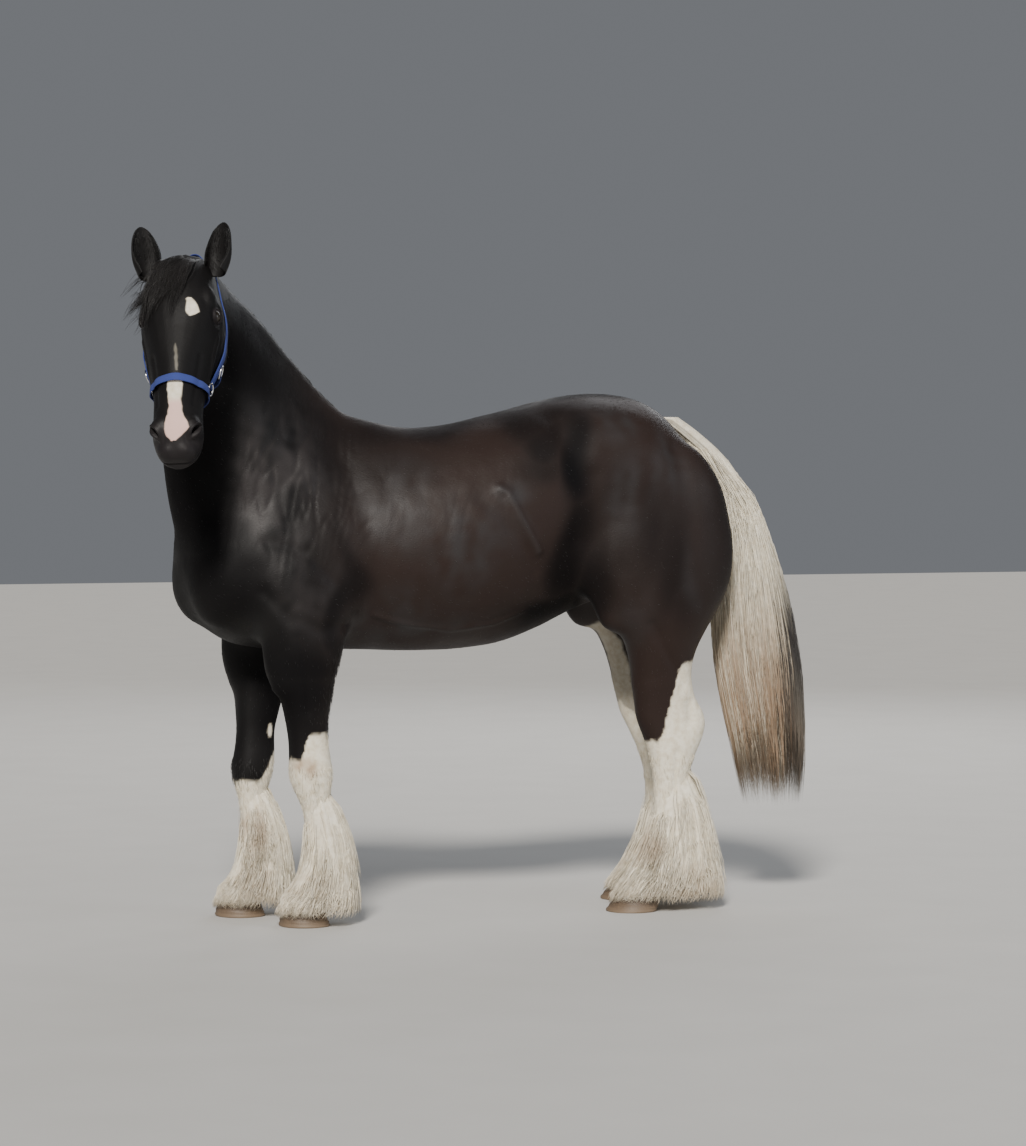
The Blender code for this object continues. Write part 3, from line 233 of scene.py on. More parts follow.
# Eyes, ears and mouth, in the head's frame.
EYE_CENTRE = (0.205, -0.038, 0.101)
EYE_RADIUS = 0.0235
EYE_LOOKS = (0.05, 0.42, 0.90)
EYE_OPENING = (0.0185, 0.0115)
NOSTRIL = (0.600, -0.030, 0.052)
MOUTH_START = 0.535
MOUTH_LEVEL = -0.110
EAR_ROOT = (0.022, -0.030, 0.095)
EAR_LENGTH = 0.146
EAR_HALF_WIDTH = 0.046
EAR_WALL = 0.0045
EAR_SPREAD = 16.0
EAR_TURN = -22.0

# Tail sections: the middle along X, height, half depth along X and half width along Y.
TAIL = (
    (0.655, 1.615, 0.045, 0.045),
    (0.735, 1.560, 0.052, 0.055),
    (0.835, 1.470, 0.062, 0.068),
    (0.905, 1.340, 0.078, 0.082),
    (0.945, 1.180, 0.102, 0.095),
    (0.965, 1.000, 0.138, 0.105),
    (0.990, 0.800, 0.150, 0.110),
    (1.015, 0.620, 0.140, 0.105),
    (1.035, 0.470, 0.125, 0.095),
    (1.045, 0.315, 0.105, 0.080),
)

# Feather sections of a leg: front and back along X, height, half width.
FEATHER = {
    "fore": (
        (-0.650, -0.565, 0.46, 0.040),
        (-0.651, -0.530, 0.40, 0.052),
        (-0.643, -0.500, 0.32, 0.066),
        (-0.646, -0.470, 0.22, 0.080),
        (-0.667, -0.458, 0.13, 0.093),
        (-0.724, -0.452, 0.06, 0.112),
        (-0.738, -0.458, 0.02, 0.110),
    ),
    "hind": (
        (0.560, 0.690, 0.49, 0.040),
        (0.555, 0.718, 0.41, 0.054),
        (0.542, 0.750, 0.32, 0.068),
        (0.515, 0.775, 0.22, 0.084),
        (0.475, 0.795, 0.13, 0.100),
        (0.412, 0.808, 0.06, 0.115),
        (0.402, 0.800, 0.02, 0.110),
    ),
}

# How far the mane falls, and how far off the skin it lies.
MANE_FALL = 0.36
HAIR_LIFT = 0.016

# Halter webbing: width, thickness, and how far it lies off the skin.
WEB_WIDTH = 0.025
WEB_THICKNESS = 0.0035
WEB_LIFT = 0.0030
NOSEBAND_PLACE = 0.440
RING_RADIUS = 0.019
RING_WIRE = 0.0028

# The skin lies this far inside the solids, which stand for the short coat's outside.
COAT_DEPTH = 0.0012

# Creases (-) and ridges (+) of the trunk and limbs, on both sides: points along X and Z,
# width, and depth. They follow the edges of the muscles under the skin.
CREASES = {
    "behind_shoulder": (((-0.50, 1.46), (-0.47, 1.30), (-0.44, 1.14), (-0.45, 0.98)), 0.045, -0.008),
    "shoulder_spine": (((-0.60, 1.52), (-0.72, 1.34), (-0.84, 1.18)), 0.045, 0.005),
    "arm_fold": (((-0.80, 1.06), (-0.72, 0.98), (-0.62, 0.94), (-0.50, 0.95)), 0.022, -0.008),
    "triceps_edge": (((-0.78, 1.22), (-0.66, 1.18), (-0.54, 1.06)), 0.022, -0.005),
    "flank_fold": (((-0.10, 1.35), (-0.05, 1.31), (0.00, 1.25), (0.05, 1.18), (0.09, 1.12)), 0.024, -0.006),
    "flank_line": (
        ((-0.034, 1.384), (-0.010, 1.370), (0.006, 1.336), (0.027, 1.29), (0.059, 1.236), (0.093, 1.184)),
        0.016, 0.009,
    ),
    "hip_edge": (((0.19, 1.62), (0.22, 1.50), (0.245, 1.36), (0.25, 1.22)), 0.042, -0.011),
    "thigh_front": (((0.29, 1.42), (0.31, 1.26), (0.31, 1.10), (0.36, 0.98)), 0.034, -0.009),
    "thigh_groove": (((0.60, 1.50), (0.64, 1.34), (0.62, 1.18), (0.56, 1.02), (0.53, 0.92)), 0.036, -0.006),
    "ham_groove": (((0.50, 1.46), (0.52, 1.30), (0.49, 1.14), (0.45, 1.00)), 0.032, -0.003),
    "gaskin_groove": (((0.50, 0.94), (0.56, 0.84), (0.63, 0.74)), 0.016, -0.006),
    "belly_vein": (
        ((-0.42, 0.98), (-0.30, 0.95), (-0.16, 0.93), (-0.02, 0.95), (0.08, 0.99)), 0.008, 0.004
    ),
    "rib_one": (((-0.30, 1.40), (-0.24, 1.22), (-0.22, 1.04)), 0.026, -0.0012),
    "rib_two": (((-0.20, 1.42), (-0.13, 1.24), (-0.11, 1.05)), 0.026, -0.0012),
    "rib_three": (((-0.38, 1.38), (-0.33, 1.20), (-0.32, 1.04)), 0.026, -0.0012),
    "forearm_groove": (((-0.69, 0.92), (-0.66, 0.80), (-0.645, 0.68)), 0.012, -0.004),
    "cannon_tendon": (((-0.603, 0.44), (-0.600, 0.34), (-0.602, 0.26)), 0.009, -0.005),
    "hind_tendon": (((0.617, 0.52), (0.612, 0.40), (0.608, 0.30)), 0.009, -0.005),
    "hock_hollow": (((0.66, 0.68), (0.665, 0.62)), 0.016, -0.007),
}

# Creases and ridges of the head, in its own frame (down the face, out, sideways).
FACE_LINES = {
    "cheek_crest": (((0.27, -0.060, 0.115), (0.35, -0.068, 0.103), (0.42, -0.075, 0.090)), 0.010, 0.004),
    "under_crest": (((0.27, -0.085, 0.115), (0.36, -0.095, 0.100), (0.44, -0.10, 0.085)), 0.014, -0.004),
    "nose_side": (((0.36, -0.012, 0.073), (0.44, -0.020, 0.063), (0.52, -0.020, 0.056)), 0.012, -0.004),
    "jaw_edge": (
        ((0.16, -0.15, 0.13), (0.24, -0.13, 0.13), (0.30, -0.16, 0.10), (0.30, -0.22, 0.08)), 0.012, -0.004
    ),
    "temple": (((0.11, -0.03, 0.10), (0.13, -0.04, 0.105)), 0.024, -0.004),
    "brow_ridge": (((0.155, -0.020, 0.086), (0.180, -0.004, 0.092), (0.215, -0.008, 0.090)), 0.014, 0.005),
    "brow_fold": (((0.175, -0.012, 0.105), (0.19, -0.004, 0.10), (0.21, -0.006, 0.095)), 0.005, -0.003),
    "under_eye": (((0.225, -0.055, 0.12), (0.235, -0.04, 0.118), (0.235, -0.02, 0.11)), 0.005, -0.003),
    "face_vein": (
        ((0.25, -0.05, 0.115), (0.33, -0.055, 0.101), (0.42, -0.09, 0.086), (0.45, -0.13, 0.06)), 0.004,
        0.002,
    ),
    "chin_groove": (((0.545, -0.155, 0.0), (0.545, -0.150, 0.03)), 0.012, -0.005),
    "lip_corner": (((0.530, -0.105, 0.072), (0.520, -0.125, 0.066)), 0.006, -0.003),
}

# White marks of the face, in the head's frame: distance down the face, middle sideways, half width.
STAR = ((0.176, 0.0415, 0.004), (0.182, 0.0415, 0.010), (0.200, 0.0470, 0.015), (0.224, 0.0520, 0.020),
        (0.234, 0.0470, 0.011), (0.242, 0.0430, 0.002))
STRIPE = ((0.335, 0.0020, 0.001), (0.36, 0.0040, 0.005), (0.40, 0.0060, 0.005), (0.425, 0.0080, 0.002))
SNIP = ((0.440, 0.0020, 0.020), (0.467, 0.0015, 0.0235), (0.535, 0.0035, 0.0185), (0.565, 0.0040, 0.022),
        (0.590, 0.0050, 0.034), (0.605, 0.0055, 0.036), (0.625, 0.0000, 0.022), (0.640, -0.0040, 0.006))
PINK_FROM = 0.505

# The upper edge of the white of each leg: place along X and height, at the front and behind.
WHITE_EDGE = {
    ("fore", "left"): (-0.668, 0.530, -0.640, 0.612),
    ("fore", "right"): (-0.720, 0.440, -0.636, 0.545),
    ("hind", "left"): (0.545, 0.548, 0.625, 0.815),
    ("hind", "right"): (0.545, 0.665, 0.620, 0.620),
}
WHITE_PATCH = (-0.672, 0.601, 0.010, 0.022)
# The far hind leg's white runs up the front of its gaskin in a strip, mixed only half way to white as painted
# shade from the belly.
PAINTED_SHADE_WHITE_STRIP = ((0.478, 0.885), (0.508, 0.845), (0.529, 0.77), (0.545, 0.70), (0.560, 0.645))
WHITE_STRIP_HALF = 0.046

# Tones of the dark coat and painted light: place along X, height, half sizes, and how much lighter (+) or
# darker (-).
# The lighter places are partly grey tone, partly painted sheen where light falls on shoulder, arm, barrel,
# belly and quarters;
# the darker places are painted shade in the hollows of hip, flank and elbow, in front of the stifle, along
# the top line, and on neck, chest and forelegs.
COAT_TONES_AND_PAINTED_LIGHT = (
    (-0.76, 1.38, 0.17, 0.24, 0.90),
    (-0.68, 1.08, 0.12, 0.13, 0.75),
    (-0.36, 1.30, 0.16, 0.17, 0.65),
    (-0.16, 1.24, 0.15, 0.15, 0.80),
    (-0.30, 0.97, 0.24, 0.07, 0.60),
    (-0.02, 1.37, 0.07, 0.06, 0.80),
    (0.42, 1.34, 0.08, 0.15, 0.80),
    (0.33, 1.58, 0.12, 0.06, 0.60),
    (0.60, 1.46, 0.10, 0.16, 0.60),
    (0.42, 0.95, 0.07, 0.12, 0.40),
    (0.64, 1.10, 0.04, 0.12, 0.40),
    (0.235, 1.17, 0.07, 0.19, -0.8),
    (0.215, 1.45, 0.060, 0.17, -1.0),
    (0.09, 1.50, 0.12, 0.09, -0.6),
    (0.17, 0.98, 0.16, 0.08, -0.9),
    (-0.53, 1.04, 0.040, 0.20, -0.7),
    (-0.15, 1.63, 0.45, 0.07, -0.8),
    (-1.00, 1.48, 0.13, 0.34, -0.9),
    (-0.92, 1.08, 0.09, 0.16, -0.6),
    (-0.66, 0.86, 0.12, 0.10, -0.8),
    (0.57, 1.14, 0.10, 0.22, -0.5),
    (0.30, 1.02, 0.05, 0.14, -0.8),
    (-0.88, 1.84, 0.15, 0.16, -0.9),
    (0.35, 1.73, 0.38, 0.06, -0.9),
    (-0.67, 0.70, 0.10, 0.16, -0.9),
    (0.10, 1.56, 0.10, 0.08, -0.8),
)

# Brown stains of the white hair: place along X, height, half sizes, side and strength.
STAINS = (
    (-0.650, 0.505, 0.035, 0.030, "left", 0.8),
    (-0.640, 0.120, 0.080, 0.050, "left", 0.35),
    (-0.725, 0.275, 0.035, 0.080, "right", 0.9),
    (-0.720, 0.110, 0.060, 0.060, "right", 0.6),
    (0.520, 0.210, 0.050, 0.060, "left", 0.7),
    (0.660, 0.080, 0.120, 0.060, "left", 0.6),
    (0.660, 0.100, 0.120, 0.080, "right", 0.6),
)

# Hair: locks, strands in each lock, points along a strand, and a strand's width.
TAIL_HAIR = (170, 30, 7, 0.0030)
FEATHER_HAIR = (150, 20, 7, 0.0026)
MANE_HAIR = (140, 30, 8, 0.0022)
FORELOCK_HAIR = (60, 34, 8, 0.0015)
SHORT_HAIRS = 11000
TUFT_PATCH = 0.003
HAIR_SEED = 20


def helper(name, mesh):
    thing = bpy.data.objects.new(name, mesh)
    thing.display_type = "WIRE"
    thing.hide_render = True
    HELPERS.objects.link(thing)
    return thing


def evaluated_mesh(thing):
    """The mesh of an object as its modifiers leave it; the object is then removed."""
    graph = bpy.context.evaluated_depsgraph_get()
    mesh = bpy.data.meshes.new_from_object(thing.evaluated_get(graph))
    mesh.transform(thing.matrix_world)
    bpy.data.objects.remove(thing)
    return mesh


def mesh_from(bm, name):
    """Triangulates a bmesh, points its faces outwards and returns it as a mesh."""
    bmesh.ops.remove_doubles(bm, verts=bm.verts, dist=1e-6)
    bmesh.ops.triangulate(bm, faces=bm.faces)
    bmesh.ops.recalc_face_normals(bm, faces=bm.faces)
    mesh = bpy.data.meshes.new(name)
    bm.to_mesh(mesh)
    bm.free()
    return mesh


def through(rows, count):
    """Reads `count` rows from a smooth curve through the rows of a table."""
    table = np.array(rows, float)
    last = len(table) - 1
    places = np.linspace(0, last, count)
    start = np.clip(places.astype(int), 0, last - 1)
    t = (places - start)[:, None]
    before, here = table[np.maximum(start - 1, 0)], table[start]
    there, after = table[start + 1], table[np.minimum(start + 2, last)]
    return here + 0.5 * t * (
        there - before
        + t * (2 * before - 5 * here + 4 * there - after + t * (3 * (here - there) + after - before))
    )


def section(top, bottom, side, widths, count=RING_POINTS):
    """A closed ring from a top and a bottom point and three half widths between them."""
    near, middle, far = widths
    share = 0.7
    round_there = math.sqrt(1 - share * share)
    near, far = near / round_there, far / round_there
    slope = (near - far) / (2 * share)
    bend = ((near + far) / 2 - middle) / (share * share)
    angle = np.linspace(0, 2 * math.pi, count, endpoint=False)
    along, across = np.cos(angle), np.sin(angle)
    width = middle + slope * along + bend * along * along
    top, bottom, side = (np.array(v, float) for v in (top, bottom, side))
    return (top + bottom) / 2 + np.outer(along, (top - bottom) / 2) + np.outer(across * width, side)


def loft(rings):
    """A closed bmesh through a list of rings of equal length, with domed ends left flat."""
    bm = bmesh.new()
    loops = [[bm.verts.new(point) for point in ring] for ring in rings]
    for one, two in zip(loops, loops[1:]):
        for i in range(len(one)):
            j = (i + 1) % len(one)
            bm.faces.new((one[i], one[j], two[j], two[i]))
    bm.faces.new(loops[0][::-1])
    bm.faces.new(loops[-1])
    return bm


def ball(centre, radii, lean=0.0, frame=None, segments=20, rings=12):
    """An ellipsoid, leaned about the Y axis, in world space or in a given frame."""
    bm = bmesh.new()
    bmesh.ops.create_uvsphere(bm, u_segments=segments, v_segments=rings, radius=1.0)
    place = Matrix.Translation(centre) @ Matrix.Rotation(math.radians(lean), 4, "Y")
    place = place @ Matrix.Diagonal((*radii, 1.0))
    bm.transform(frame @ place if frame else place)
    return bm


def head_frame():
    """Columns: down the face, out from the face, and to the animal's left."""
    heading, lean = math.radians(HEAD_HEADING), math.radians(FACE_LEAN)
    looks = Vector((-math.cos(heading), -math.sin(heading), 0))
    up = Vector((0, 0, 1))
    down_face = looks * math.sin(lean) - up * math.cos(lean)
    out = looks * math.cos(lean) + up * math.sin(lean)
    left = up.cross(looks)
    frame = Matrix((down_face, out, left)).transposed()
    frame = Matrix.Rotation(math.radians(-HEAD_ROLL), 3, looks) @ frame
    return Matrix.Translation(POLL) @ frame.to_4x4()


HEAD_FRAME = head_frame()


def trunk():
    rings = [
        section((x, 0, top), (x, 0, bottom), (0, -1, 0), widths)
        for x, top, bottom, *widths in through(TRUNK, 46)
    ]
    return loft(rings)


def neck():
    rings = []
    for row in through(NECK, 26):
        heading = math.radians(row[6])
        side = (math.sin(heading), -math.cos(heading), 0)
        rings.append(section(row[0:3], row[3:6], side, row[7:10]))
    return loft(rings)


def head():
    rings = []
    for down, face, jaw, *widths in through(HEAD, 40):
        rings.append(section((down, face, 0), (down, jaw, 0), (0, 0, 1), widths))
    bm = loft(rings)
    bm.transform(HEAD_FRAME)
    return bm


def swing(pair, side, height):
    """How far a limb is carried forward or back at a height."""
    share = (SWING_TOP[pair] - height) / (SWING_TOP[pair] - SWING_FOOT)
    return REACH[pair, side] * min(max(share, 0.0), 1.15)


def leg(pair, side):
    rings = []
    rows = through(FORELEG if pair == "fore" else HINDLEG, 60)
    for front, back, height, tilt, half_width, place in rows:
        carried = swing(pair, side, height)
        y = place * SIDES[side]
        top = (front + carried, y, height + tilt / 2)
        bottom = (back + carried, y, height - tilt / 2)
        widths = (half_width * 0.80, half_width, half_width * 0.72)
        rings.append(section(top, bottom, (0, -1, 0), widths))
    return loft(rings)


def muscles(side):
    made = []
    for centre, radii, lean in MUSCLES.values():
        pair = "fore" if centre[0] < 0 else "hind"
        x, y, z = centre
        place = (x + swing(pair, side, z), y * SIDES[side], z)
        made.append(ball(place, radii, lean))
    return made


def face_masses():
    made = []
    for centre, radii in FACE_MASSES.values():
        for way in (-1, 1):
            place = (centre[0], centre[1], centre[2] * way)
            made.append(ball(place, radii, frame=HEAD_FRAME))
    return made


def merged(pieces):
    """Several closed bmeshes as one mesh, not yet fused."""
    whole = bpy.data.meshes.new("pieces")
    bm = bmesh.new()
    for piece in pieces:
        bmesh.ops.recalc_face_normals(piece, faces=piece.faces)
        mesh = bpy.data.meshes.new("piece")
        piece.to_mesh(mesh)
        piece.free()
        bm.from_mesh(mesh)
        bpy.data.meshes.remove(mesh)
    bm.to_mesh(whole)
    bm.free()
    return whole


def fused_skin():
    """All flesh as one closed skin: fused by a voxel remesh, then smoothed, the head least."""
    pieces = [trunk(), neck(), head(), *face_masses()]
    for side in SIDES:
        pieces += [leg("fore", side), leg("hind", side), *muscles(side)]
    body = helper("skin", merged(pieces))
    fuse = body.modifiers.new("fuse", "REMESH")
    fuse.mode = "VOXEL"
    fuse.voxel_size = SKIN_VOXEL
    body = helper("skin", evaluated_mesh(body))
    to_head = HEAD_FRAME.inverted()
    groups = {"all": body.vertex_groups.new(name="all"), "body": body.vertex_groups.new(name="body")}
    for vertex in body.data.vertices:
        p = to_head @ vertex.co
        behind = min(max((-p.y - 0.20) / 0.12, 0.0), 1.0)
        low = 1.0 if vertex.co.z > 0.75 else 0.35
        groups["body"].add([vertex.index], max(behind * low, 0.0), "REPLACE")
    first = body.modifiers.new("soften", "SMOOTH")
    first.factor = 0.5
    first.iterations = 5
    second = body.modifiers.new("soften_body", "SMOOTH")
    second.factor = 0.8
    second.iterations = 130
    second.vertex_group = "body"
    return evaluated_mesh(body)


def foot_place(pair, side):
    """The centre of the sole."""
    x = SOLE_CENTRE[pair] + swing(pair, side, 0.0)
    return Vector((x, 0.16 * SIDES[side], 0.0))


def crest_row(s):
    """The crest of the neck at a share of its length from the poll, and its right side."""
    row = through(NECK, 60)[int(round((1 - s) * 59))]
    heading = math.radians(row[6])
    return Vector(row[0:3]), Vector((-math.sin(heading), math.cos(heading), 0))


def draped(tree, point, outward, lift):
    """The point moved out of the skin along a direction, and lifted off it."""
    hit = tree.ray_cast(point + outward * 0.5, -outward, 0.62)
    if hit[0] is None:
        return point + outward * 0.5 * lift, outward
    return hit[0] + outward * lift, (hit[1] + outward).normalized()


def feather_rows(pair):
    table = np.array(FEATHER[pair])
    front, back, height, wide = table.T
    return through(np.stack([(front + back) / 2, height, (back - front) / 2, wide], 1), 8)


HORSE = bpy.data.collections.new("horse_looks")
HELPERS = bpy.data.collections.new("helpers")
bpy.context.scene.collection.children.link(HORSE)
bpy.context.scene.collection.children.link(HELPERS)

# The frame's origin is under the middle of the solids' box; the sole of one hoof gives the way.
SOLE_LOW, SOLE_HIGH = (Vector(corner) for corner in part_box("hoof_fore_left"))
SHIFT = (SOLE_LOW + SOLE_HIGH) / 2 - foot_place("fore", "left")
SHIFT.z = 0.0
FLESH_NODES = ["torso", "neck", "head"] + [
    f"{name}_{side}" for name in ("forearm", "gaskin", "cannon_fore", "cannon_hind") for side in SIDES
]


def place(mesh, name, finish, slot, replaces=(), smooth=True):
    """Links a finished mesh of the body's frame as a piece of the horse."""
    mesh.transform(Matrix.Translation(SHIFT))
    piece = bpy.data.objects.new(name, mesh)
    HORSE.objects.link(piece)
    mesh.materials.clear()
    mesh.materials.append(finish)
    if smooth:
        mesh.shade_smooth()
    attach(piece, "root")
    if replaces:
        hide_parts(*replaces)
    return piece


def bell(x, width):
    return np.exp(-((x / width) ** 2))


def ramp(x, low, high):
    t = np.clip((x - low) / (high - low), 0, 1)
    return t * t * (3 - 2 * t)


def line_distance(points, line):
    """Distance of many points to a polyline of the same dimension."""
    best = np.full(len(points), 9.0)
    line = np.array(line, float)
    for one, two in zip(line, line[1:]):
        step = two - one
        t = np.clip(((points - one) @ step) / (step @ step), 0, 1)
        best = np.minimum(best, np.linalg.norm(points - one - t[:, None] * step, axis=1))
    return best


def rough(points, scale, seed=0.0):
    """Smooth noise in -1..1 at many points."""
    offset = Vector((seed, seed * 0.7, -seed))
    return np.array([noise.noise(Vector(p) * scale + offset) for p in points])


def vertex_array(mesh):
    flat = np.empty(len(mesh.vertices) * 3, np.float32)
    mesh.vertices.foreach_get("co", flat)
    return flat.reshape(-1, 3).astype(float)


def normal_array(mesh):
    flat = np.empty(len(mesh.vertices) * 3, np.float32)
    mesh.vertex_normals.foreach_get("vector", flat)
    return flat.reshape(-1, 3).astype(float)


def set_vertices(mesh, points):
    mesh.vertices.foreach_set("co", points.astype(np.float32).ravel())
    mesh.update()


def in_head(points):
    """Head coordinates: down the face, out of it, to the animal's left."""
    inverse = np.array(HEAD_FRAME.inverted())
    return points @ inverse[:3, :3].T + inverse[:3, 3]


def from_head(points):
    matrix = np.array(HEAD_FRAME)
    return points @ matrix[:3, :3].T + matrix[:3, 3]


# Skin. The fused skin is divided finely on the head and softened there, then folds, grooves,
# veins, lids, nostrils and lips are moved into it along its normals.
def finer_head(mesh, rounds=2):
    for _ in range(rounds):
        bm = bmesh.new()
        bm.from_mesh(mesh)
        h = in_head(np.array([v.co for v in bm.verts]))
        on_head = (h[:, 0] > 0.02) & (h[:, 0] < 0.8) & (h[:, 1] > -0.30) & (np.abs(h[:, 2]) < 0.2)
        bm.verts.ensure_lookup_table()
        edges = [e for e in bm.edges if on_head[e.verts[0].index] and on_head[e.verts[1].index]]
        bmesh.ops.subdivide_edges(bm, edges=edges, cuts=1, use_grid_fill=True)
        bm.to_mesh(mesh)
        bm.free()
    thing = helper("skin", mesh)
    group = thing.vertex_groups.new(name="head")
    h = in_head(vertex_array(mesh))
    for i in np.nonzero((h[:, 0] > 0.03) & (h[:, 1] > -0.30))[0]:
        group.add([int(i)], 1.0, "REPLACE")
    soft = thing.modifiers.new("soften", "SMOOTH")
    soft.factor = 0.5
    soft.iterations = 10
    soft.vertex_group = "head"
    return evaluated_mesh(thing)


def fold_body(points, normals):
    """Depth of the creases, wrinkles and veins of the trunk and limbs."""
    depth = np.zeros(len(points))
    flat = points[:, [0, 2]]
    sideways = ramp(np.abs(normals[:, 1]), 0.15, 0.55)
    trunk_only = points[:, 2] < 1.75
    wave = rough(points, 6.0)
    for line, width, deep in CREASES.values():
        depth += deep * bell(line_distance(flat, line), width * (1 + 0.25 * wave)) * sideways * trunk_only
    folds = streaks(points, (30.0, 5.0, 7.0))
    shoulder = bell(points[:, 0] + 0.70, 0.24) * bell(points[:, 2] - 1.40, 0.24)
    throat = bell(points[:, 0] + 0.92, 0.12) * bell(points[:, 2] - 1.62, 0.26)
    depth -= 0.0042 * folds * np.maximum(shoulder, 0.6 * throat) * sideways
    barrel = bell(points[:, 0] + 0.18, 0.32) * bell(points[:, 2] - 1.26, 0.22)
    depth -= 0.0010 * streaks(points, (20.0, 5.0, 4.0)) * barrel * sideways
    depth += 0.0035 * rough(points, 4.0, 11.0) + 0.0012 * rough(points, 14.0, 13.0)
    return depth * ramp(points[:, 2], 0.10, 0.35)


def streaks(points, scale):
    """Narrow folds, 0..1, that run down and slightly forward along the skin."""
    lean = 0.25
    across = points[:, 0] - lean * points[:, 2]
    down = points[:, 2] + lean * points[:, 0]
    stretched = np.stack([across * scale[0], points[:, 1] * scale[1], down * scale[2]], 1)
    bend = rough(stretched, 0.35, 4.0)[:, None] * np.array((1.5, 0.0, 0.0))
    return np.clip(1 - np.abs(rough(stretched + bend, 1.0, 9.0)) * 3.2, 0, 1) ** 1.5


def fold_face(h):
    """Depth of the lines, nostrils and mouth of the head, from head coordinates."""
    mirrored = np.stack([h[:, 0], h[:, 1], np.abs(h[:, 2])], 1)
    depth = np.zeros(len(h))
    for line, width, deep in FACE_LINES.values():
        depth += deep * bell(line_distance(mirrored, line), width)
    lip_level = MOUTH_LEVEL + 0.25 * np.clip(h[:, 0] - 0.60, 0, 1)
    mouth = bell(h[:, 1] - lip_level, 0.0030) * ramp(h[:, 0], MOUTH_START - 0.006, MOUTH_START + 0.008)
    depth -= 0.0055 * mouth
    chin_lines = np.sin(h[:, 1] * 900 + 3 * rough(h, 30.0)) * ramp(h[:, 0], 0.56, 0.62)
    depth += 0.0005 * chin_lines * bell(h[:, 1] + 0.13, 0.03)
    along, across, _ = nostril_place(mirrored)
    q = np.hypot(along / 0.023, (across + 0.25 * along ** 2 / 0.023) / 0.0105)
    depth += 0.0035 * bell(q - 1.35, 0.35) - 0.024 * ramp(1.12 - q, 0.0, 0.75)
    return depth


def nostril_place(mirrored):
    """Distances along, across and into a nostril, which leans up and back."""
    offset = mirrored - np.array(NOSTRIL)
    into = np.array((0.35, 0.45, 0.82))
    into /= np.linalg.norm(into)
    long_way = np.array((0.80, 0.18, -0.45))
    long_way -= into * (long_way @ into)
    long_way /= np.linalg.norm(long_way)
    return offset @ long_way, offset @ np.cross(into, long_way), offset @ into


def open_eyes(h):
    """Draws the skin round each eyeball as lids with an almond opening between them."""
    for way in (-1, 1):
        centre = np.array((EYE_CENTRE[0], EYE_CENTRE[1], EYE_CENTRE[2] * way))
        looks = np.array((EYE_LOOKS[0], EYE_LOOKS[1], EYE_LOOKS[2] * way))
        looks /= np.linalg.norm(looks)
        long_way = np.array((0.93, -0.36, 0.0))
        long_way -= looks * (long_way @ looks)
        long_way /= np.linalg.norm(long_way)
        away = h - centre
        far = np.linalg.norm(away, axis=1)
        near = (far < 0.046) & (away @ looks > -0.012)
        unit = away[near] / far[near][:, None]
        a, b = unit @ long_way * EYE_RADIUS, unit @ np.cross(looks, long_way) * EYE_RADIUS
        q = np.hypot(a / EYE_OPENING[0], b / (EYE_OPENING[1] * (1.12 - 0.25 * (a / EYE_OPENING[0]) ** 2)))
        q += 2.0 * (unit @ looks < 0.3)
        lid = EYE_RADIUS + 0.0032 + 0.0022 * bell(q - 1.22, 0.20) - 0.0016 * bell(q - 1.75, 0.16)
        lid = EYE_RADIUS * 0.80 + (lid - EYE_RADIUS * 0.80) * ramp(q, 0.97, 1.06)
        blend = ramp(far[near], 0.031, 0.046)
        h[near] = centre + unit * (lid * (1 - blend) + np.maximum(far[near], lid) * blend)[:, None]
    return h


def sculpted_skin():
    mesh = finer_head(fused_skin())
    points, normals = vertex_array(mesh), normal_array(mesh)
    h = in_head(points)
    head_share = ramp(h[:, 0], 0.0, 0.08) * ramp(h[:, 1], -0.36, -0.26) * (points[:, 2] > 1.35)
    depth = fold_body(points, normals) * (1 - head_share) + fold_face(h) * head_share - COAT_DEPTH
    points = points + normals * depth[:, None]
    set_vertices(mesh, points)
    on_head = head_share > 0.5
    h = in_head(points)
    h[on_head] = open_eyes(h[on_head])
    set_vertices(mesh, np.where(on_head[:, None], from_head(h), points))
    return mesh


# Marks. The same rules colour the skin and the hair that grows on it.
def band(rows, h, soft=0.003):
    """A mark of the face from rows of (down, middle, half width)."""
    down, middle, half = np.array(rows).T
    inside = np.interp(
        h[:, 0], down, half, left=-0.05, right=-0.05
    ) - np.abs(h[:, 2] - np.interp(h[:, 0], down, middle))
    return ramp(inside + 0.004 * rough(h, 55.0), -soft, soft) * (h[:, 1] > -0.07)


def of_leg(points, pair, side):
    return (points[:, 1] * SIDES[side] > 0) & ((points[:, 0] < 0) == (pair == "fore"))


def white_legs(points):
    ragged = 0.012 * rough(points, 16.0, 2.0) + 0.008 * rough(points, 60.0, 4.0)
    white = np.zeros(len(points))
    for (pair, side), (front, front_top, back, back_top) in WHITE_EDGE.items():
        share = ramp(points[:, 0], front, back)
        top = front_top + (back_top - front_top) * share
        there = of_leg(points, pair, side)
        white = np.maximum(white, ramp(top - points[:, 2] + ragged, -0.006, 0.006) * there)
    strip = WHITE_STRIP_HALF - line_distance(points[:, [0, 2]], PAINTED_SHADE_WHITE_STRIP) + ragged * 0.5
    inner = ramp(0.185 - points[:, 1] + ragged, -0.008, 0.008)
    # Half strength: the strip's white is greyed as painted shade.
    white = np.maximum(white, 0.48 * ramp(strip, -0.006, 0.006) * inner * of_leg(points, "hind", "right"))
    x, z, wide, high = WHITE_PATCH
    patch = 1 - np.hypot((points[:, 0] - x) / wide, (points[:, 2] - z) / high) + ragged * 12
    white = np.maximum(white, ramp(patch, -0.1, 0.2) * of_leg(points, "fore", "right"))
    return white * (points[:, 2] < 1.0)


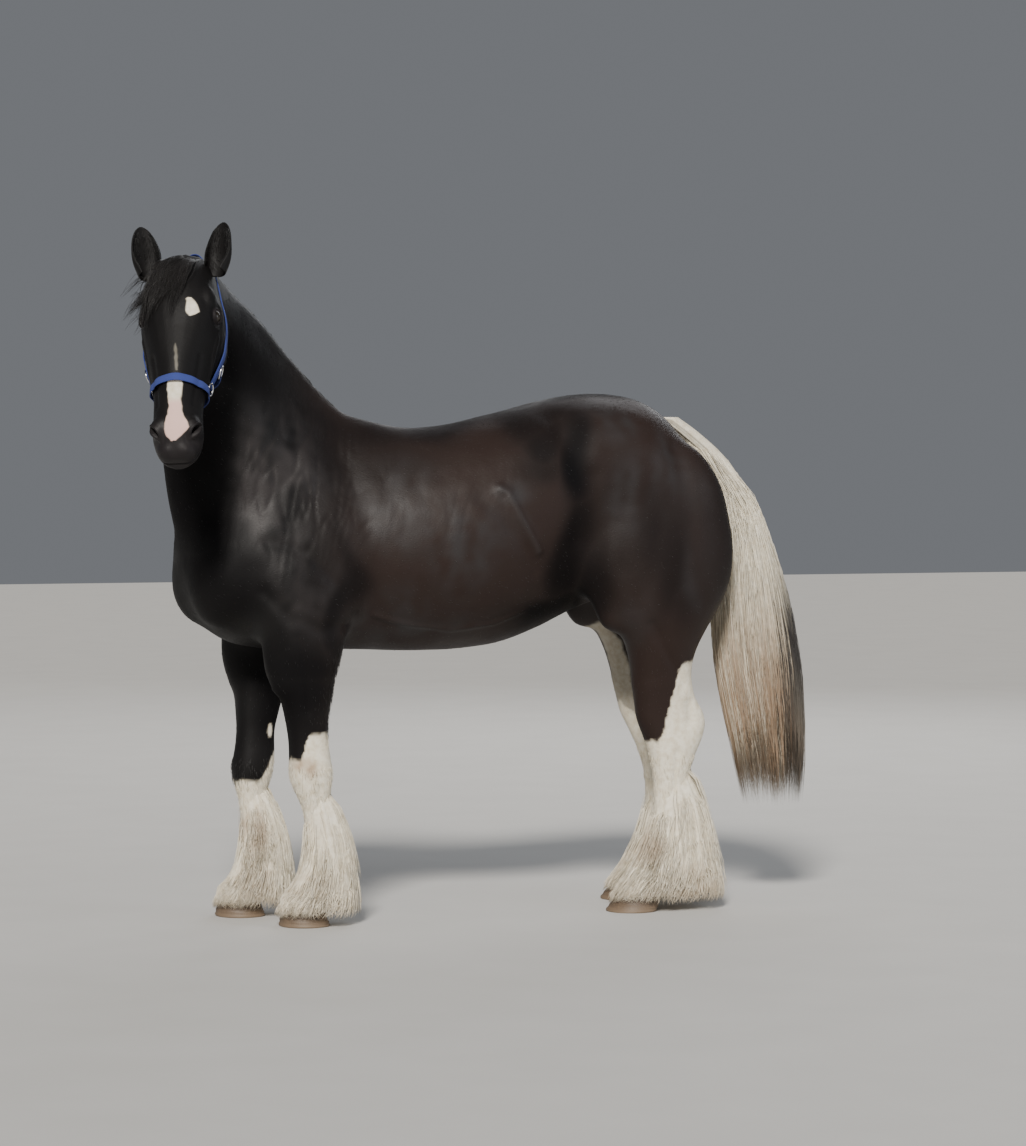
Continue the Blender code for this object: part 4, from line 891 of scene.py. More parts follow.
def stains(points):
    """Brown dirt of the legs, 0..1, in blotches."""
    dirt = np.zeros(len(points))
    blotches = np.clip(0.65 + 1.3 * rough(points, 16.0, 9.0) + 0.6 * rough(points, 45.0, 1.0), 0, 1)
    for x, z, wide, high, side, strength in STAINS:
        far = np.hypot((points[:, 0] - x) / wide, (points[:, 2] - z) / high)
        dirt = np.maximum(dirt, strength * ramp(1.5 - far, 0.0, 1.0) * (points[:, 1] * SIDES[side] > 0))
    low = 0.45 * ramp(0.15 - points[:, 2], 0.0, 0.15)
    return np.maximum(dirt * blotches, low)


def tones_and_painted_light(points):
    """How much lighter (grey tone and painted sheen) or darker (painted shade) the dark coat is from place to
    place, in long streaks, with a painted highlight along the flank line.
    """
    streak = 0.75 + 1.1 * rough(points * np.array((2.6, 2.6, 0.7)), 7.0, 3.0)
    streak += 0.5 * rough(points, 30.0, 5.0)
    lighter = np.zeros(len(points))
    darker = np.zeros(len(points))
    warp = np.stack([rough(points, 5.0, 11.0), rough(points, 5.0, 17.0)], 1) * 0.09
    at = points[:, [0, 2]] + warp
    for x, z, long, high, tone in COAT_TONES_AND_PAINTED_LIGHT:
        far = np.hypot((at[:, 0] - x) / long, (at[:, 1] - z) / high) ** 3
        there = abs(tone) * np.exp(-far)
        if tone > 0:
            lighter = np.maximum(lighter, there)
        else:
            darker = np.maximum(darker, there)
    # A painted highlight along the ridge of the flank line.
    ridge = bell(line_distance(points[:, [0, 2]], CREASES["flank_line"][0]), 0.009)
    return np.clip(lighter * streak + 0.45 * ridge, 0, 1), np.clip(darker, 0, 1)


def marks(points):
    """White, pink, bare skin, brown tint, dirt, grey tone with painted sheen, and painted shade at many
    points of the body's frame.
    """
    h = in_head(points)
    on_face = (points[:, 2] > 1.35) & (h[:, 0] > 0.0) & (h[:, 1] > -0.3) & (np.abs(h[:, 2]) < 0.2)
    snip = band(SNIP, h) * on_face
    white = np.maximum(white_legs(points), np.maximum(band(STAR, h), snip) * on_face)
    white = np.maximum(white, 0.18 * band(STRIPE, h) * on_face)
    pink = snip * ramp(h[:, 0], PINK_FROM, PINK_FROM + 0.03)
    mirrored = np.stack([h[:, 0], h[:, 1], np.abs(h[:, 2])], 1)
    eye_far = np.linalg.norm(mirrored - np.array(EYE_CENTRE), axis=1)
    bare = np.maximum(ramp(h[:, 0], 0.56, 0.62) * on_face, ramp(0.036 - eye_far, 0.0, 0.006) * on_face)
    brown = np.clip(0.55 + 0.8 * rough(points, 2.6, 6.0) + 0.5 * bell(points[:, 0] - 0.1, 0.6), 0, 1)
    brown *= ramp(points[:, 0], -0.75, -0.35) * (1 - on_face)
    # The coat's lighter places are grey tone and painted sheen; its darker places (deep) are painted shade,
    # kept off the white.
    grey_and_painted_sheen, deep = tones_and_painted_light(points)
    deep *= 1 - white
    dirt = stains(points) * (points[:, 2] < 0.8)
    return {
        "white": white, "pink": pink, "bare": bare, "brown": brown, "grey_and_painted_sheen": grey_and_painted_sheen, "deep": deep, "dirt": dirt
    }


def give_marks(mesh, values):
    for name, value in values.items():
        attribute = mesh.attributes.new(name, "FLOAT", "POINT")
        attribute.data.foreach_set("value", np.asarray(value, np.float32))


# Materials. Each is built from attributes of the mesh and noise of the object's own space.
class Shade:
    """A short way to write a node tree that ends in a Principled shader."""

    def __init__(self, name):
        self.material = bpy.data.materials.new(name)
        self.material.use_nodes = True
        self.tree = self.material.node_tree
        self.shader = self.tree.nodes["Principled BSDF"]

    def node(self, kind, sockets=None, **settings):
        made = self.tree.nodes.new(kind)
        for name, value in settings.items():
            setattr(made, name, value)
        for key, value in (sockets or {}).items():
            self.put(made.inputs[key], value)
        return made

    def put(self, socket, value):
        if isinstance(value, bpy.types.NodeSocket):
            self.tree.links.new(value, socket)
        elif isinstance(value, tuple) and len(value) == 3 and socket.type == "RGBA":
            socket.default_value = (*value, 1.0)
        else:
            socket.default_value = value

    def value(self, name):
        return self.node("ShaderNodeAttribute", attribute_name=name).outputs["Fac"]

    def where(self, scale=(1.0, 1.0, 1.0), source="Object"):
        coordinates = self.node("ShaderNodeTexCoord").outputs[source]
        return self.node("ShaderNodeMapping", {"Vector": coordinates, "Scale": scale}).outputs[0]

    def noise(self, scale, detail=3.0, vector=None):
        vector = vector or self.where()
        return self.node(
            "ShaderNodeTexNoise", {"Vector": vector, "Scale": scale, "Detail": detail}
        ).outputs["Fac"]

    def mix(self, share, one, two):
        made = self.node("ShaderNodeMix", data_type="RGBA")
        self.put(made.inputs[0], share)
        self.put(made.inputs[6], one)
        self.put(made.inputs[7], two)
        return made.outputs[2]

    def maths(self, operation, one, two):
        made = self.node("ShaderNodeMath", operation=operation)
        self.put(made.inputs[0], one)
        self.put(made.inputs[1], two)
        return made.outputs[0]

    def fit(self, value, low, high, to_low=0.0, to_high=1.0):
        made = self.node("ShaderNodeMapRange")
        for i, number in enumerate((value, low, high, to_low, to_high)):
            self.put(made.inputs[i], number)
        return made.outputs[0]

    def bump(self, height, strength, distance, normal=None):
        made = self.node("ShaderNodeBump", {"Height": height, "Strength": strength, "Distance": distance})
        if normal:
            self.put(made.inputs["Normal"], normal)
        return made.outputs[0]

    def set(self, **sockets):
        for name, value in sockets.items():
            self.put(self.shader.inputs[name.replace("_", " ")], value)
        return self.material


def coat_colour(shade, lighten=0.0):
    """Black with brown, grey tone and painted sheen in it and darkened by painted shade, cream white with
    dirt, and pink skin, by the marks.
    """
    patchy = shade.noise(7.0, 5.0)
    black = shade.mix(patchy, (0.003 + lighten, 0.0027 + lighten, 0.0028 + lighten), (0.007, 0.006, 0.006))
    black = shade.mix(shade.value("brown"), black, (0.021, 0.012, 0.0095))
    # Grey tone and painted sheen lighten the black; painted shade (deep) darkens it.
    black = shade.mix(shade.value("grey_and_painted_sheen"), black, (0.030, 0.026, 0.026))
    black = shade.mix(shade.value("deep"), black, (0.0035, 0.003, 0.0035))
    fine = shade.noise(60.0, 4.0)
    white = shade.mix(shade.fit(fine, 0.35, 0.7), (0.86, 0.80, 0.66), (0.70, 0.62, 0.47))
    white = shade.mix(shade.maths("MULTIPLY", shade.value("dirt"), 0.9), white, (0.34, 0.212, 0.122))
    return shade.mix(shade.value("white"), black, white)


def skin_material():
    shade = Shade("coat_and_skin")
    colour = coat_colour(shade)
    colour = shade.mix(shade.maths("MULTIPLY", shade.value("bare"), 0.7), colour, (0.018, 0.015, 0.016))
    colour = shade.mix(shade.value("pink"), colour, (0.74, 0.50, 0.44))
    flow = shade.where((30.0, 150.0, 150.0))
    fur = shade.noise(3.2, 6.0, flow)
    down = shade.noise(3.0, 5.0, shade.where((150.0, 150.0, 26.0)))
    low = shade.fit(shade.node("ShaderNodeSeparateXYZ", {0: shade.where()}).outputs[2], 0.7, 1.0)
    hair = shade.node("ShaderNodeMix", {0: low, 2: down, 3: fur}).outputs[0]
    clumps = shade.noise(24.0, 3.0)
    bump = shade.bump(hair, 0.35, 0.0022, shade.bump(clumps, 0.22, 0.004))
    pores = shade.node(
        "ShaderNodeTexVoronoi", {"Vector": shade.where(), "Scale": 700.0}
    ).outputs["Distance"]
    smooth = shade.bump(pores, 0.15, 0.0008)
    normal = shade.node(
        "ShaderNodeMix", {0: shade.value("bare"), 4: bump, 5: smooth}, data_type="VECTOR"
    ).outputs[1]
    gloss = shade.fit(shade.noise(5.0, 4.0), 0.3, 0.7, 0.44, 0.62)
    gloss = shade.maths("ADD", gloss, shade.maths("MULTIPLY", shade.value("white"), 0.25))
    # Where painted shade (deep) lies the coat is also rougher and less shiny; grey tone and painted sheen
    # make it glossier.
    gloss = shade.maths("ADD", gloss, shade.maths("MULTIPLY", shade.value("deep"), 0.2))
    gloss = shade.maths("SUBTRACT", gloss, shade.maths("MULTIPLY", shade.value("grey_and_painted_sheen"), 0.08))
    shine = shade.fit(shade.value("deep"), 0.0, 1.0, 0.22, 0.09)
    return shade.set(Base_Color=colour, Roughness=gloss, Normal=normal, Specular_IOR_Level=shine)


def hair_material(name="long_hair"):
    """Strands: coat colours by the marks, varied from strand to strand and along it."""
    shade = Shade(name)
    colour = coat_colour(shade, lighten=0.0005)
    vary = shade.fit(shade.value("vary"), 0.0, 1.0, 0.78, 1.18)
    colour = shade.node(
        "ShaderNodeVectorMath",
        {0: colour, 1: shade.node("ShaderNodeCombineXYZ", {0: vary, 1: vary, 2: vary}).outputs[0]},
        operation="MULTIPLY",
    ).outputs[0]
    return shade.set(Base_Color=colour, Roughness=0.48, Specular_IOR_Level=0.36, Sheen_Weight=0.1)


# Hair. Strands are closed three-sided threads that taper to a tip, gathered into locks.
def strand_mesh(name, paths, outs, width, values, roots):
    """One mesh of many strands: paths (N, K, 3), the way out of the body (N, K, 3)."""
    count, steps, _ = paths.shape
    ahead = np.gradient(paths, axis=1)
    ahead /= np.linalg.norm(ahead, axis=2, keepdims=True) + 1e-12
    side = np.cross(ahead, outs)
    side /= np.linalg.norm(side, axis=2, keepdims=True) + 1e-12
    up = np.cross(side, ahead)
    t = np.linspace(0, 1, steps)
    taper = (0.75 + 0.5 * np.sin(np.pi * np.minimum(t + 0.15, 1))) * (1 - 0.55 * t ** 2)
    half = np.asarray(width).reshape(-1, 1) / 2 * taper
    rings = []
    for angle in (90, 210, 330):
        across, rise = math.cos(math.radians(angle)), 0.62 * math.sin(math.radians(angle))
        rings.append(paths + side * (across * half)[:, :, None] + up * (rise * half)[:, :, None])
    body = np.stack(rings, 2)[:, :-1].reshape(count, -1, 3)
    vertices = np.concatenate([body, paths[:, -1:]], 1)
    per = (steps - 1) * 3 + 1
    quads = []
    for k in range(steps - 2):
        for i in range(3):
            j = (i + 1) % 3
            quads.append((k * 3 + i, k * 3 + j, k * 3 + 3 + j, k * 3 + 3 + i))
    tips = [((steps - 2) * 3 + i, (steps - 2) * 3 + (i + 1) % 3, per - 1) for i in range(3)] + [(2, 1, 0)]
    start = (np.arange(count) * per)[:, None]
    quad_loops = (np.array(quads).reshape(1, -1) + start).ravel()
    tip_loops = (np.array(tips).reshape(1, -1) + start).ravel()
    loops = np.concatenate([quad_loops, tip_loops])
    sizes = np.concatenate([np.full(count * len(quads), 4), np.full(count * len(tips), 3)])
    mesh = bpy.data.meshes.new(name)
    mesh.vertices.add(count * per)
    mesh.vertices.foreach_set("co", vertices.astype(np.float32).ravel())
    mesh.loops.add(len(loops))
    mesh.loops.foreach_set("vertex_index", loops.astype(np.int32))
    mesh.polygons.add(len(sizes))
    mesh.polygons.foreach_set("loop_start", np.concatenate([[0], np.cumsum(sizes)[:-1]]).astype(np.int32))
    mesh.update(calc_edges=True)
    give_marks(
        mesh,
        {
            key: value.reshape(count, -1)[:, bead_index(steps, value.reshape(count, -1).shape[1])].ravel()
            for key, value in values.items()
        }
    )
    along = np.concatenate([np.repeat(t[:-1], 3), [1.0]])
    turn = np.concatenate([np.tile([0.0, 0.5, 1.0], steps - 1), [0.5]])
    uv = np.stack([roots[:, :1] + TUFT_PATCH * turn, roots[:, 1:] + TUFT_PATCH * along], 2).reshape(-1, 2)
    layer = mesh.uv_layers.new(name="OFBake")
    layer.data.foreach_set("uv", uv[loops].astype(np.float32).ravel())
    return mesh


def bead_index(steps, columns):
    """Which column of a value each vertex of a strand reads."""
    if columns == 1:
        return np.zeros((steps - 1) * 3 + 1, int)
    return np.concatenate([np.repeat(np.arange(steps - 1), 3), [steps - 1]])


def root_uv(points):
    """Two views of the skin, left and right, laid side by side."""
    u = (points[:, 0] + 1.4) / 2.7 * 0.5 + np.where(points[:, 1] > 0, 0.5, 0.0)
    return np.stack([np.clip(u, 0.002, 0.994), np.clip(points[:, 2] / 2.3, 0.002, 0.994)], 1)


def wavy(paths, side, draw, size, waves=2.0):
    """Adds a soft wave that grows towards the tips."""
    count, steps, _ = paths.shape
    t = np.linspace(0, 1, steps)
    phase = draw.uniform(0, 2 * np.pi, (count, 1))
    swing_size = size * draw.uniform(0.3, 1.0, (count, 1))
    return paths + side * (np.sin(t * waves * 2 * np.pi + phase) * t * swing_size)[:, :, None]


def plume_strands(rows, place, hair, draw, starts, ends, root_share, angles, bunch):
    """Strands that leave a body of hair's middle and lie on its outside, in locks."""
    locks, each, steps, width = hair
    count = locks * each
    lock = np.repeat(np.arange(locks), each)
    t = np.linspace(0, 1, steps)
    gather = 1 - 0.35 * ramp(t, 0.3, 1.0)
    angle = angles[lock][:, None] + draw.normal(0, bunch, (count, 1)) * gather
    start = starts[lock][:, None] + draw.uniform(-0.03, 0.03, (count, 1))
    end = ends[lock][:, None] + draw.uniform(-0.05, 0.02, (count, 1))
    u = np.clip(start + (end - start) * t, 0, 1)
    full = (
        0.78 + 0.24 * draw.random(locks)
    )[lock][:, None] + draw.uniform(-0.10, 0.04, (count, 1)) * gather
    share = root_share + (full - root_share) * ramp(t, 0.0, 0.38)
    grid = np.linspace(0, 1, len(rows))
    x, z, deep, wide = (np.interp(u, grid, rows[:, i]) for i in range(4))
    paths = np.stack([
        x + place[0] + deep * share * np.cos(angle),
        place[1] + wide * share * np.sin(angle),
        z,
    ], 2)
    outs = np.stack([np.cos(angle), np.sin(angle), np.zeros_like(angle)], 2)
    side = np.stack([-np.sin(angle), np.cos(angle), np.zeros_like(angle)], 2)
    paths = wavy(paths, side, draw, 0.012)
    roots = np.concatenate([angle[:, :1] / (2 * np.pi) % 1, u[:, :1] / max(starts.max(), 0.01)], 1)
    return paths, outs, width * draw.uniform(0.6, 1.25, count), np.clip(roots, 0.002, 0.994)


def tail_hair():
    draw = np.random.default_rng(HAIR_SEED)
    locks, each = TAIL_HAIR[:2]
    rows = through(TAIL, 24)
    starts = draw.uniform(0.0, 0.40, locks)
    ends = draw.uniform(0.88, 1.0, locks)
    angles = draw.uniform(0, 2 * np.pi, locks)
    paths, outs, width, roots = plume_strands(
        rows, (0, 0), TAIL_HAIR, draw, starts, ends, 0.60, angles, 0.20
    )
    count = locks * each
    rear = np.repeat(np.cos(angles + 0.35), each)[:, None]
    z = paths[:, :, 2]
    lock_draw = np.repeat(draw.random(locks), each)[:, None]
    dark = ramp(
        rear + 0.40 * lock_draw + 0.25 * ramp(1.0 - z, 0, 0.5), 0.82, 0.98
    ) * ramp(1.20 - z, 0.0, 0.25)
    streak = np.repeat(draw.random(locks), each)[:, None] + 0.25 * draw.random((count, 1))
    rust = ramp(1.15 - z, 0.0, 0.55) * (0.22 + 1.0 * ramp(streak, 0.25, 0.9)) * ramp(1.05 - rear, -0.1, 0.4)
    faded = ramp(0.85 - z, 0.0, 0.45)
    rust = np.maximum(rust, 0.8 * faded * dark)
    dark = dark * (1 - 0.45 * faded * (0.6 + 0.4 * lock_draw))
    values = {
        "white": 1 - dark, "dirt": np.minimum(rust, 1.0), "brown": dark * 0.3, "grey_and_painted_sheen": dark * 0.75,
        "vary": draw.random((count, 1)),
    }
    mesh = strand_mesh("tail_hair", paths, outs, width, values, roots)
    place(mesh, "tail_hair", hair_material("tail_hair"), "white_hair", ["tail"])


def hair_core(name, rows, where, shares, ripple):
    """A rippled body under the strands, so that the gaps among them are not empty."""
    angles = np.linspace(0, 2 * np.pi, 72, endpoint=False)
    rings = []
    for (x, z, deep, wide), share in zip(rows, shares):
        wave = np.sin(angles * 11 + 5 * z)
        wave += 0.7 * np.sin(angles * 19 - 7 * z)
        wave += 0.5 * np.sin(angles * 31 + 9 * z)
        out = share * (1 + ripple * wave)
        rings.append(np.stack([
            x + where[0] + deep * out * np.cos(angles), where[1] + wide * out * np.sin(angles), np.full(72, z)
        ], 1))
    return mesh_from(loft(rings), name)


# Heights, and where along X the tail's dark rear begins there.
TAIL_REAR = ((0.3, 1.0, 1.3, 1.7), (1.04, 0.97, 0.93, 0.7))


def tail_core():
    """The dock and the close hair under the strands."""
    rows = through(TAIL, 40)[:35]
    shares = np.maximum(0.66, 0.99 - 0.03 * np.arange(35))
    mesh = hair_core("tail_core", rows, (0, 0), shares, 0.03)
    points = vertex_array(mesh)
    low = ramp(1.1 - points[:, 2], 0, 0.5)
    rear = ramp(points[:, 0] - np.interp(points[:, 2], *TAIL_REAR), 0.0, 0.06)
    vary = np.full(len(points), 0.4)
    give_marks(mesh, {"white": 1 - 0.9 * low * rear, "dirt": 0.6 * low, "vary": vary})
    place(mesh, "tail_core", hair_material("tail_core"), "white_hair")


def over_horn(points, pair, side, lift):
    """Moves hair that would run inside the hoof to its outside."""
    where = foot_place(pair, side)
    rise = np.clip(points[..., 2] / TOE_HEIGHT, 0, 1)
    middle = where.x + CORONET_SETBACK[pair] * rise
    ahead, aside = points[..., 0] - middle, points[..., 1] - where.y
    least = SOLE_RADIUS + (CORONET_RADIUS - SOLE_RADIUS) * rise + lift
    grow = np.maximum(least / np.maximum(np.hypot(ahead, aside), 0.001), 1) - 1
    grow = 1 + np.minimum(grow, 1.0) * ramp(0.125 - points[..., 2], 0, 0.035)
    return np.stack([middle + ahead * grow, where.y + aside * grow, points[..., 2]], -1)


def feather_hair(pair, side):
    draw = np.random.default_rng(HAIR_SEED + len(pair + side) + (pair == "hind") * 7)
    locks, each = FEATHER_HAIR[:2]
    rows = np.array(feather_rows(pair))
    where = (swing(pair, side, 0.3), 0.16 * SIDES[side])
    angles = np.where(
        draw.random(locks) < 0.30, draw.normal(0, 0.9, locks), draw.uniform(-np.pi, np.pi, locks)
    )
    angles = np.where(draw.random(locks) < 0.16, np.pi + draw.normal(0, 0.45, locks), angles)
    behind = 0.5 + 0.5 * np.cos(angles)
    starts = draw.uniform(0.0, 0.62, locks) + 0.16 * (1 - behind)
    lowest = np.where(behind > 0.4, draw.uniform(0.95, 1.0, locks), draw.uniform(0.92, 0.98, locks))
    ends = np.minimum(starts + draw.uniform(0.36, 0.62, locks), lowest)
    paths, outs, width, roots = plume_strands(
        rows, where, FEATHER_HAIR, draw, starts, ends, 0.42, angles, 0.24
    )
    paths[:, :, 2] = np.maximum(paths[:, :, 2], 0.006 + 0.004 * draw.random((locks * each, 1)))
    paths = over_horn(paths, pair, side, 0.003 + 0.006 * draw.random((locks * each, 1)))
    lock_draw = np.repeat(draw.random(locks), each)[:, None]
    dirt = stains(paths.reshape(-1, 3)).reshape(locks * each, -1) * (0.35 + 0.65 * lock_draw)
    one = np.ones((locks * each, 1))
    values = {"white": one, "dirt": dirt, "vary": draw.random((locks * each, 1))}
    mesh = strand_mesh("feather", paths, outs, width, values, roots)
    place(mesh, f"feather_{pair}_{side}", hair_material(f"feather_{pair}_{side}"), "white_hair")
    core_rows = through(rows, 30)
    core_rows = core_rows[core_rows[:, 1] > 0.045]
    along = np.arange(len(core_rows))
    shares = 0.55 + 0.31 * ramp(along, 0, 9) - 0.16 * ramp(along, len(core_rows) - 9, len(core_rows))
    core = hair_core(f"feather_core_{pair}_{side}", core_rows, where, shares, 0.045)
    points = over_horn(vertex_array(core), pair, side, 0.002)
    set_vertices(core, points)
    zero = np.zeros(len(points))
    dark = {"white": zero + 1, "dirt": stains(points) * 0.8, "vary": zero + 0.55}
    give_marks(core, dark)
    place(core, core.name, hair_material(f"feather_core_{pair}_{side}"), "white_hair")


def guided(name, guides, outs, hair, draw, spread, lift, values, sheet=0):
    """Strands round guide paths (L, K, 3), wider at mid length, gathered at the tips.

    They spread along the sheet that the guides make, or else straight across each guide.
    """
    locks, each, steps, width = hair
    lock = np.repeat(np.arange(locks), each)
    t = np.linspace(0, 1, steps)
    if sheet:
        index = np.arange(locks)
        across = guides[np.minimum(index + sheet, locks - 1)] - guides[np.maximum(index - sheet, 0)]
    else:
        across = np.cross(guides[:, -1] - guides[:, 0], outs.mean(axis=1))[:, None]
        across = across + np.zeros_like(guides)
    across /= np.linalg.norm(across, axis=2, keepdims=True)
    profile = (0.7 + 0.6 * np.sin(np.pi * t) - 0.35 * t)[None, :]
    side_shift = draw.normal(0, spread, (len(lock), 1)) * profile
    out_shift = np.abs(draw.normal(0, lift, (len(lock), 1))) * ramp(t, 0.0, 0.3)
    cut = draw.uniform(0.62, 1.0, (len(lock), 1)) * (steps - 1) * t
    low = np.minimum(cut.astype(int), steps - 2)
    share = (cut - low)[:, :, None]
    rows = lock[:, None]
    pick = lambda table: table[rows, low] * (1 - share) + table[rows, low + 1] * share
    paths = pick(guides) + pick(across) * side_shift[:, :, None] + pick(outs) * out_shift[:, :, None]
    paths = wavy(paths, pick(across), draw, 0.005, 1.5)
    all_values = {
        "vary": draw.random((len(lock), 1)), **{k: np.full((len(lock), 1), v) for k, v in values.items()}
    }
    mesh = strand_mesh(
        name, paths, pick(outs), width * draw.uniform(0.6, 1.2, len(lock)), all_values, root_uv(paths[:, 0])
    )
    return place(mesh, name, hair_material(name), "black_coat")


def mane_hair(tree):
    draw = np.random.default_rng(HAIR_SEED + 3)
    locks, steps = MANE_HAIR[0], MANE_HAIR[2]
    guides, outs = [], []
    for i in range(locks):
        s = 0.04 + 0.85 * i / (locks - 1)
        crest, right = crest_row(s)
        length = MANE_FALL * draw.uniform(0.65, 1.0)
        length *= 0.45 + 0.75 * math.sin(math.pi * min(s + 0.1, 1))
        slide = draw.uniform(-0.09, 0.04)
        along = Vector((right.y, -right.x, 0))
        start = draw.uniform(-0.006, 0.022)
        path, out = [], []
        for step, lift in ((0.0, -0.004), (0.016, 0.003), (0.036, 0.005)):
            there = crest + right * (start + step) + along * step * 0.8
            spot, normal, _, _ = tree.find_nearest(there)
            path.append(spot + normal * (lift + 0.002 * draw.random()))
            out.append(normal)
        lows, reach = [], []
        for j in range(1, steps - 2):
            t = j / (steps - 3)
            low = crest - Vector((0, 0, 0.035 + length * t)) + along * (0.02 + slide * t)
            point, _ = draped(tree, low, right, HAIR_LIFT * (0.3 + 0.5 * t))
            lows.append(low)
            reach.append((point - low).dot(right))
        soft = np.convolve(np.pad(reach, 1, "edge"), (0.25, 0.5, 0.25), "valid")
        path += [low + right * max(one, two) for low, one, two in zip(lows, reach, soft)]
        out += [right] * len(lows)
        guides.append(path)
        outs.append(out)
    guided(
        "mane_hair", np.array(guides), np.array(outs), MANE_HAIR, draw, 0.014, 0.0025, {"brown": 0.1},
        sheet=12,
    )


def forelock_hair(tree):
    draw = np.random.default_rng(HAIR_SEED + 4)
    locks, steps = FORELOCK_HAIR[0], FORELOCK_HAIR[2]
    out = (HEAD_FRAME.to_3x3() @ Vector((0, 1, 0))).normalized()
    guides, outs = [], []
    for i in range(locks):
        share = i / (locks - 1)
        length = draw.uniform(0.14, 0.30) * (1.0 if share > 0.3 else 0.75)
        swept = -0.015 - 0.145 * share ** 1.2 + draw.uniform(-0.012, 0.012)
        root = draw.uniform(-0.046, 0.036)
        spot, normal, _, _ = tree.find_nearest(HEAD_FRAME @ Vector((-0.002, -0.060, root)))
        path = [spot - normal * 0.004]
        for j in range(1, steps):
            t = j / (steps - 1)
            low = HEAD_FRAME @ Vector(
                (length * t - 0.010, -0.05 * max(t - 0.5, 0) * share, root + swept * t ** 1.2)
            )
            point, _ = draped(tree, low, out, HAIR_LIFT * (0.35 + 0.25 * draw.random()))
            path.append(point)
        guides.append(path)
        outs.append([out] * steps)
    guided(
        "forelock_hair", np.array(guides), np.array(outs), FORELOCK_HAIR, draw, 0.009, 0.0035,
        {"brown": 0.2},
    )


def short_coat(mesh, values):
    """Short hairs that lie along the skin and break its outline, thick where hair is long."""
    draw = np.random.default_rng(HAIR_SEED + 5)
    points, normals = vertex_array(mesh), normal_array(mesh)
    h = in_head(points)
    on_head = (points[:, 2] > 1.35) & (h[:, 0] > 0.02) & (h[:, 1] > -0.3) & (np.abs(h[:, 2]) < 0.2)
    long_hair = bell(line_distance(points[:, [0, 2]], ((-0.53, 0.84), (-0.55, 0.60))), 0.04)
    long_hair = np.maximum(long_hair, ((points[:, 2] < 0.52) & (points[:, 2] > 0.30)) * 0.6)
    long_hair = np.maximum(long_hair, bell(h[:, 1] + 0.24, 0.05) * on_head * 0.6)
    weight = (0.12 + long_hair) * (1 - values["bare"]) * np.where(on_head, 0.10, 1.0) * (
        points[:, 2] > 0.12
    )
    chosen = draw.choice(len(points), SHORT_HAIRS, p=weight / weight.sum())
    flow = np.where(points[:, 2:] > 0.95, np.array([[0.85, 0.0, -0.5]]), np.array([[0.12, 0.0, -1.0]]))
    down_face = np.array(HEAD_FRAME.to_3x3().col[0])
    flow = np.where(on_head[:, None], down_face, flow)[chosen]
    normal = normals[chosen]
    flow = flow + draw.normal(0, 0.16, flow.shape)
    flow -= normal * np.sum(flow * normal, 1, keepdims=True)
    flow /= np.linalg.norm(flow, axis=1, keepdims=True)
    fine = np.where(on_head[chosen], 0.55, 1.0)
    length = fine * (0.011 + 0.028 * long_hair[chosen] * draw.uniform(0.5, 1, SHORT_HAIRS))
    length = length[:, None, None]
    t = np.linspace(0, 1, 4)[None, :, None]
    lift = 0.0002 + (fine * (0.0010 + 0.004 * long_hair[chosen]))[:, None, None] * np.sin(t * 2.2)
    paths = points[chosen][:, None] - normal[:, None] * 0.001
    paths = paths + flow[:, None] * length * t + normal[:, None] * lift
    outs = np.repeat(normal[:, None], 4, 1)
    # The short hairs carry the skin's colours, its painted sheen and painted shade included.
    coat_values = {key: values[key][chosen][:, None] for key in ("white", "dirt", "brown", "grey_and_painted_sheen", "deep")}
    coat_values["vary"] = draw.random((SHORT_HAIRS, 1))
    made = strand_mesh(
        "short_coat", paths, outs, fine * draw.uniform(0.0009, 0.0017, SHORT_HAIRS), coat_values,
        root_uv(points[chosen]),
    )
    place(made, "short_coat", hair_material("short_coat"), "black_coat")


# Ears: the frame's own leaf form with more points, hair along the rims and inside the cup.
def ear_leaf(way, across=19, along=25):
    grid = np.empty((along, across, 3))
    for i in range(along):
        v = i / (along - 1)
        swell = 0.78 + 0.22 * math.sin(math.pi / 2 * min(v / 0.45, 1.0))
        half = EAR_HALF_WIDTH * max(swell * (1 - v ** 3) ** 0.55, 0.05)
        roll = math.radians(128 - 70 * v)
        for j in range(across):
            u = 2 * j / (across - 1) - 1
            side = half * math.sin(u * roll) / math.sin(min(roll, math.pi / 2))
            deep = -half * 0.85 * (math.cos(u * roll) - math.cos(roll)) * (1 - 0.45 * v)
            grid[i, j] = (0.012 * (v == 0) - EAR_LENGTH * v, deep + 0.02 * v * v, side)
    turn = Matrix.Rotation(
        math.radians(EAR_SPREAD * way), 4, "Y"
    ) @ Matrix.Rotation(math.radians(EAR_TURN * way), 4, "X")
    root = Vector((EAR_ROOT[0], EAR_ROOT[1], EAR_ROOT[2] * way))
    matrix = np.array(HEAD_FRAME @ Matrix.Translation(root) @ turn)
    return grid @ matrix[:3, :3].T + matrix[:3, 3]


def ear(name, way):
    grid = ear_leaf(way)
    bm = bmesh.new()
    rows = [[bm.verts.new(point) for point in row] for row in grid]
    for one, two in zip(rows, rows[1:]):
        for a, b, c, d in zip(one, one[1:], two[1:], two):
            bm.faces.new((a, b, c, d))
    mesh = bpy.data.meshes.new(name)
    bm.to_mesh(mesh)
    bm.free()
    leaf = helper(name, mesh)
    wall = leaf.modifiers.new("wall", "SOLIDIFY")
    wall.thickness = EAR_WALL
    wall.offset = 0
    finer = leaf.modifiers.new("finer", "SUBSURF")
    finer.levels = 1
    finer.render_levels = 1
    mesh = evaluated_mesh(leaf)
    place(mesh, f"{name}_leaf", bpy.data.materials["coat_and_skin"], "black_coat", [name])
    ear_hair(name, grid)


